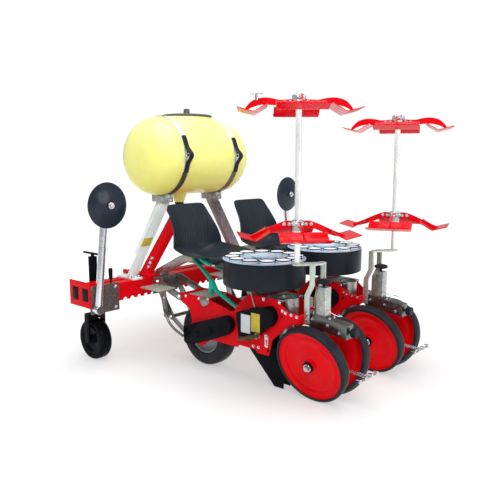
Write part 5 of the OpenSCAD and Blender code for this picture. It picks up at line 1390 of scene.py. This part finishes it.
LEVER_OUT, LEVER_THICK, LEVER_HALF = 0.121, 0.008, 0.027
LEVER_FOOT, LEVER_HEAD, HOLE_AT, HOLE_HALF = (1.288, 0.322), (1.342, 0.560), 0.55, (0.026, 0.011)
LEVER_PIN = [(0.0, 0.0), (0.0, 0.017), (0.012, 0.017), (0.014, 0.014), (0.014, 0.0)]
LINK_OUT, LINK_RADIUS = 0.124, 0.0095
LINK_ROUTE = [(0, 1.287, 0.322), (0, 1.262, 0.280), (0, 1.226, 0.250), (0, 1.185, 0.228), (0, 1.112, 0.203)]
levers = bmesh.new()
for middle in UNITS.values():
    holed_plate(levers, middle - LEVER_OUT, LEVER_THICK, LEVER_FOOT, LEVER_HEAD, LEVER_HALF, HOLE_AT, HOLE_HALF)
    spin(levers, LEVER_PIN, spot(middle - 0.120, *LEVER_FOOT), LEFT, 24, False)
    levers.from_mesh(tube_mesh("link", laid_path(LINK_ROUTE, middle - LINK_OUT, 24), LINK_RADIUS, 12))
shaped("unit_levers", levers, ["dark_zinc"])
print("levers", len(UNITS))

# %% Rods, strips and dark hole discs on the side plates
trims = bmesh.new()
ROD_OUT, ROD_TOP, ROD_FOOT, ROD_RADIUS = 0.1125, (0.494, 0.602), (0.461, 0.512), 0.0034
# Two thin black discs sit on each side plate where it has holes: painted shade for the dark inside of the holes.
HOLE_SHADE_SPOTS = ((0.251, 0.488), (0.357, 0.256))
HOLE_SHADE_DISC = [(-0.003, 0.0), (-0.003, 0.0095), (0.0006, 0.0095), (0.0010, 0.0085), (0.0010, 0.0)]
for middle in UNITS.values():
    rod = [spot(middle - ROD_OUT, *end) for end in (ROD_TOP, ROD_FOOT)]
    trims.from_mesh(tube_mesh("rod", rod, ROD_RADIUS, 12))
    holed_plate(trims, middle - STRIP_OUT, 0.005, (STRIP_AT, STRIP_ENDS[0]), (STRIP_AT, STRIP_ENDS[1]), 0.014, 0.5,
                (0.013, 0.005))
shaped("plate_trims", trims, ["zinc"])
hole_shades = bmesh.new()
for middle in UNITS.values():
    for y, z in HOLE_SHADE_SPOTS:
        spin(hole_shades, HOLE_SHADE_DISC, spot(middle - PLATE_OUT, y, z), LEFT, 20, False)
shaped("plate_plugs", hole_shades, ["gloss_black"])
print("rods, strips and plugs", 4 * len(UNITS))

# %% Bosses, fork caps, leg plate and leg covers
bosses = bmesh.new()
BOSS = [(-0.004, 0.0), (-0.004, 0.0230), (0.002, 0.0230), (0.003, 0.0200), (0.009, 0.0180), (0.011, 0.0150),
        (0.011, 0.0)]
BOSS_SPOTS = ((0.935, 0.256), (0.805, 0.306))
FORK_RISE, FORK_CAP = UP * 0.172, (0.052, 0.040, 0.016)
for middle in UNITS.values():
    for y, z in BOSS_SPOTS:
        spin(bosses, BOSS, spot(middle + CASE_FACE, y, z), LEFT, 32, False)
for side in HAND:
    block(bosses, joint_spot(f"gauge_{side}_spin") + FORK_RISE, SQUARE, FORK_CAP, 0.005)
shaped("case_bosses", bosses, ["gloss_black"])
plate = bmesh.new()
LEG_FOOT, LEG_HEAD, LEG_LOW, LEG_HIGH, LEG_FACE = 0.575, 0.255, 0.589, 1.105, 1.5125
lean = Vector((LEG_FOOT - LEG_HEAD, 0, LEG_HIGH - LEG_LOW))
block(plate, spot(-0.434, LEG_FACE - 0.0042, 0.823), (RIGHT, AHEAD, lean.normalized()),
      (0.041, 0.0012, 0.033), 0.0006)
shaped("leg_plate", plate, ["yellow_plate"])
covers = bmesh.new()
for hand in HAND.values():
    middle = spot(hand * (LEG_FOOT + LEG_HEAD) / 2, LEG_FACE - 0.0016, (LEG_LOW + LEG_HIGH) / 2)
    block(covers, middle, (RIGHT, AHEAD, Vector((-hand * lean.x, 0, lean.z)) / 2), (0.0500, 0.0016, 0.985),
          0.0008)
shaped("leg_covers", covers, ["leg_zinc"])

# %% Clamps on the tray tiers
CLAMP_RISE, CLAMP_SIDE = UP * 0.012, Vector((-0.66, -0.75, 0)).normalized()
COLLAR = mirrored([(-0.0140, 0.0302), (-0.0140, 0.0365), (-0.0120, 0.0385)])
CLAMP_PIN = [(-0.022, 0.0), (-0.022, 0.0075), (0.022, 0.0075), (0.022, 0.0)]
TEE_TIER, TEE_OUT, TEE_RISE = 2, 0.235, 0.010
TEE = [(-0.012, 0.0), (-0.012, 0.0080), (0.020, 0.0080), (0.021, 0.0350), (0.025, 0.0360), (0.026, 0.0)]
across = CLAMP_SIDE.cross(UP)
for tier, rest in TIER_REST.items():
    hub = joint_spot(f"tier_{tier}_turn")
    collar = hub + CLAMP_RISE
    clamp = bmesh.new()
    spin(clamp, COLLAR, collar, UP, 40, True)
    for s in BOTH:
        block(clamp, collar + CLAMP_SIDE * 0.048 + across * (0.010 * s), (CLAMP_SIDE, across, UP),
              (0.014, 0.0030, 0.013))
    spin(clamp, CLAMP_PIN, collar + CLAMP_SIDE * 0.050, across, 12, False)
    if tier == TEE_TIER:
        a = math.radians(rest + 90)
        spin(clamp, TEE, hub + Vector((math.cos(a), math.sin(a), 0)) * TEE_OUT + UP * TEE_RISE, UP, 20, False)
    shaped(f"tier_clamp_{tier}", clamp, ["bright_steel"], (), f"tray_tier_{tier}")
print("tier clamps", len(TIER_REST))

# %% Scrapers
SCRAPER_SHIFT = (joint_spot("press_1_spin").x + joint_spot("press_2_spin").x) / 2 - joint_spot("drive_left_spin").x
SCRAPER_ROD = [(0.0, 0.0), (0.0, 0.0045), (0.292, 0.0045), (0.292, 0.0)]
SCRAPER_ROUND, ROD_SPOTS, CLEAT_SPOTS = 0.0006, (-0.013, 0.013), (-0.092, -0.034, 0.034, 0.092)
scrapers = bmesh.new()
for middle in UNITS.values():
    x = middle + SCRAPER_SHIFT
    for dx in ROD_SPOTS:
        spin(scrapers, SCRAPER_ROD, spot(x + dx, -0.262, 0.206), AHEAD, 12, False, 1)
    block(scrapers, spot(x, -0.258, 0.203), SQUARE, (0.110, 0.0015, 0.0065), SCRAPER_ROUND, 0)
    for dx in CLEAT_SPOTS:
        block(scrapers, spot(x + dx, -0.2605, 0.203), SQUARE, (0.010, 0.0025, 0.0100), SCRAPER_ROUND, 1)
        block(scrapers, spot(x + dx, -0.2500, 0.2115), SQUARE, (0.010, 0.0120, 0.0013), 0.0005, 1)
shaped("scrapers_barred", scrapers, ["dark_zinc", "bright_steel"], ["scrapers"])
print("scrapers", len(UNITS))
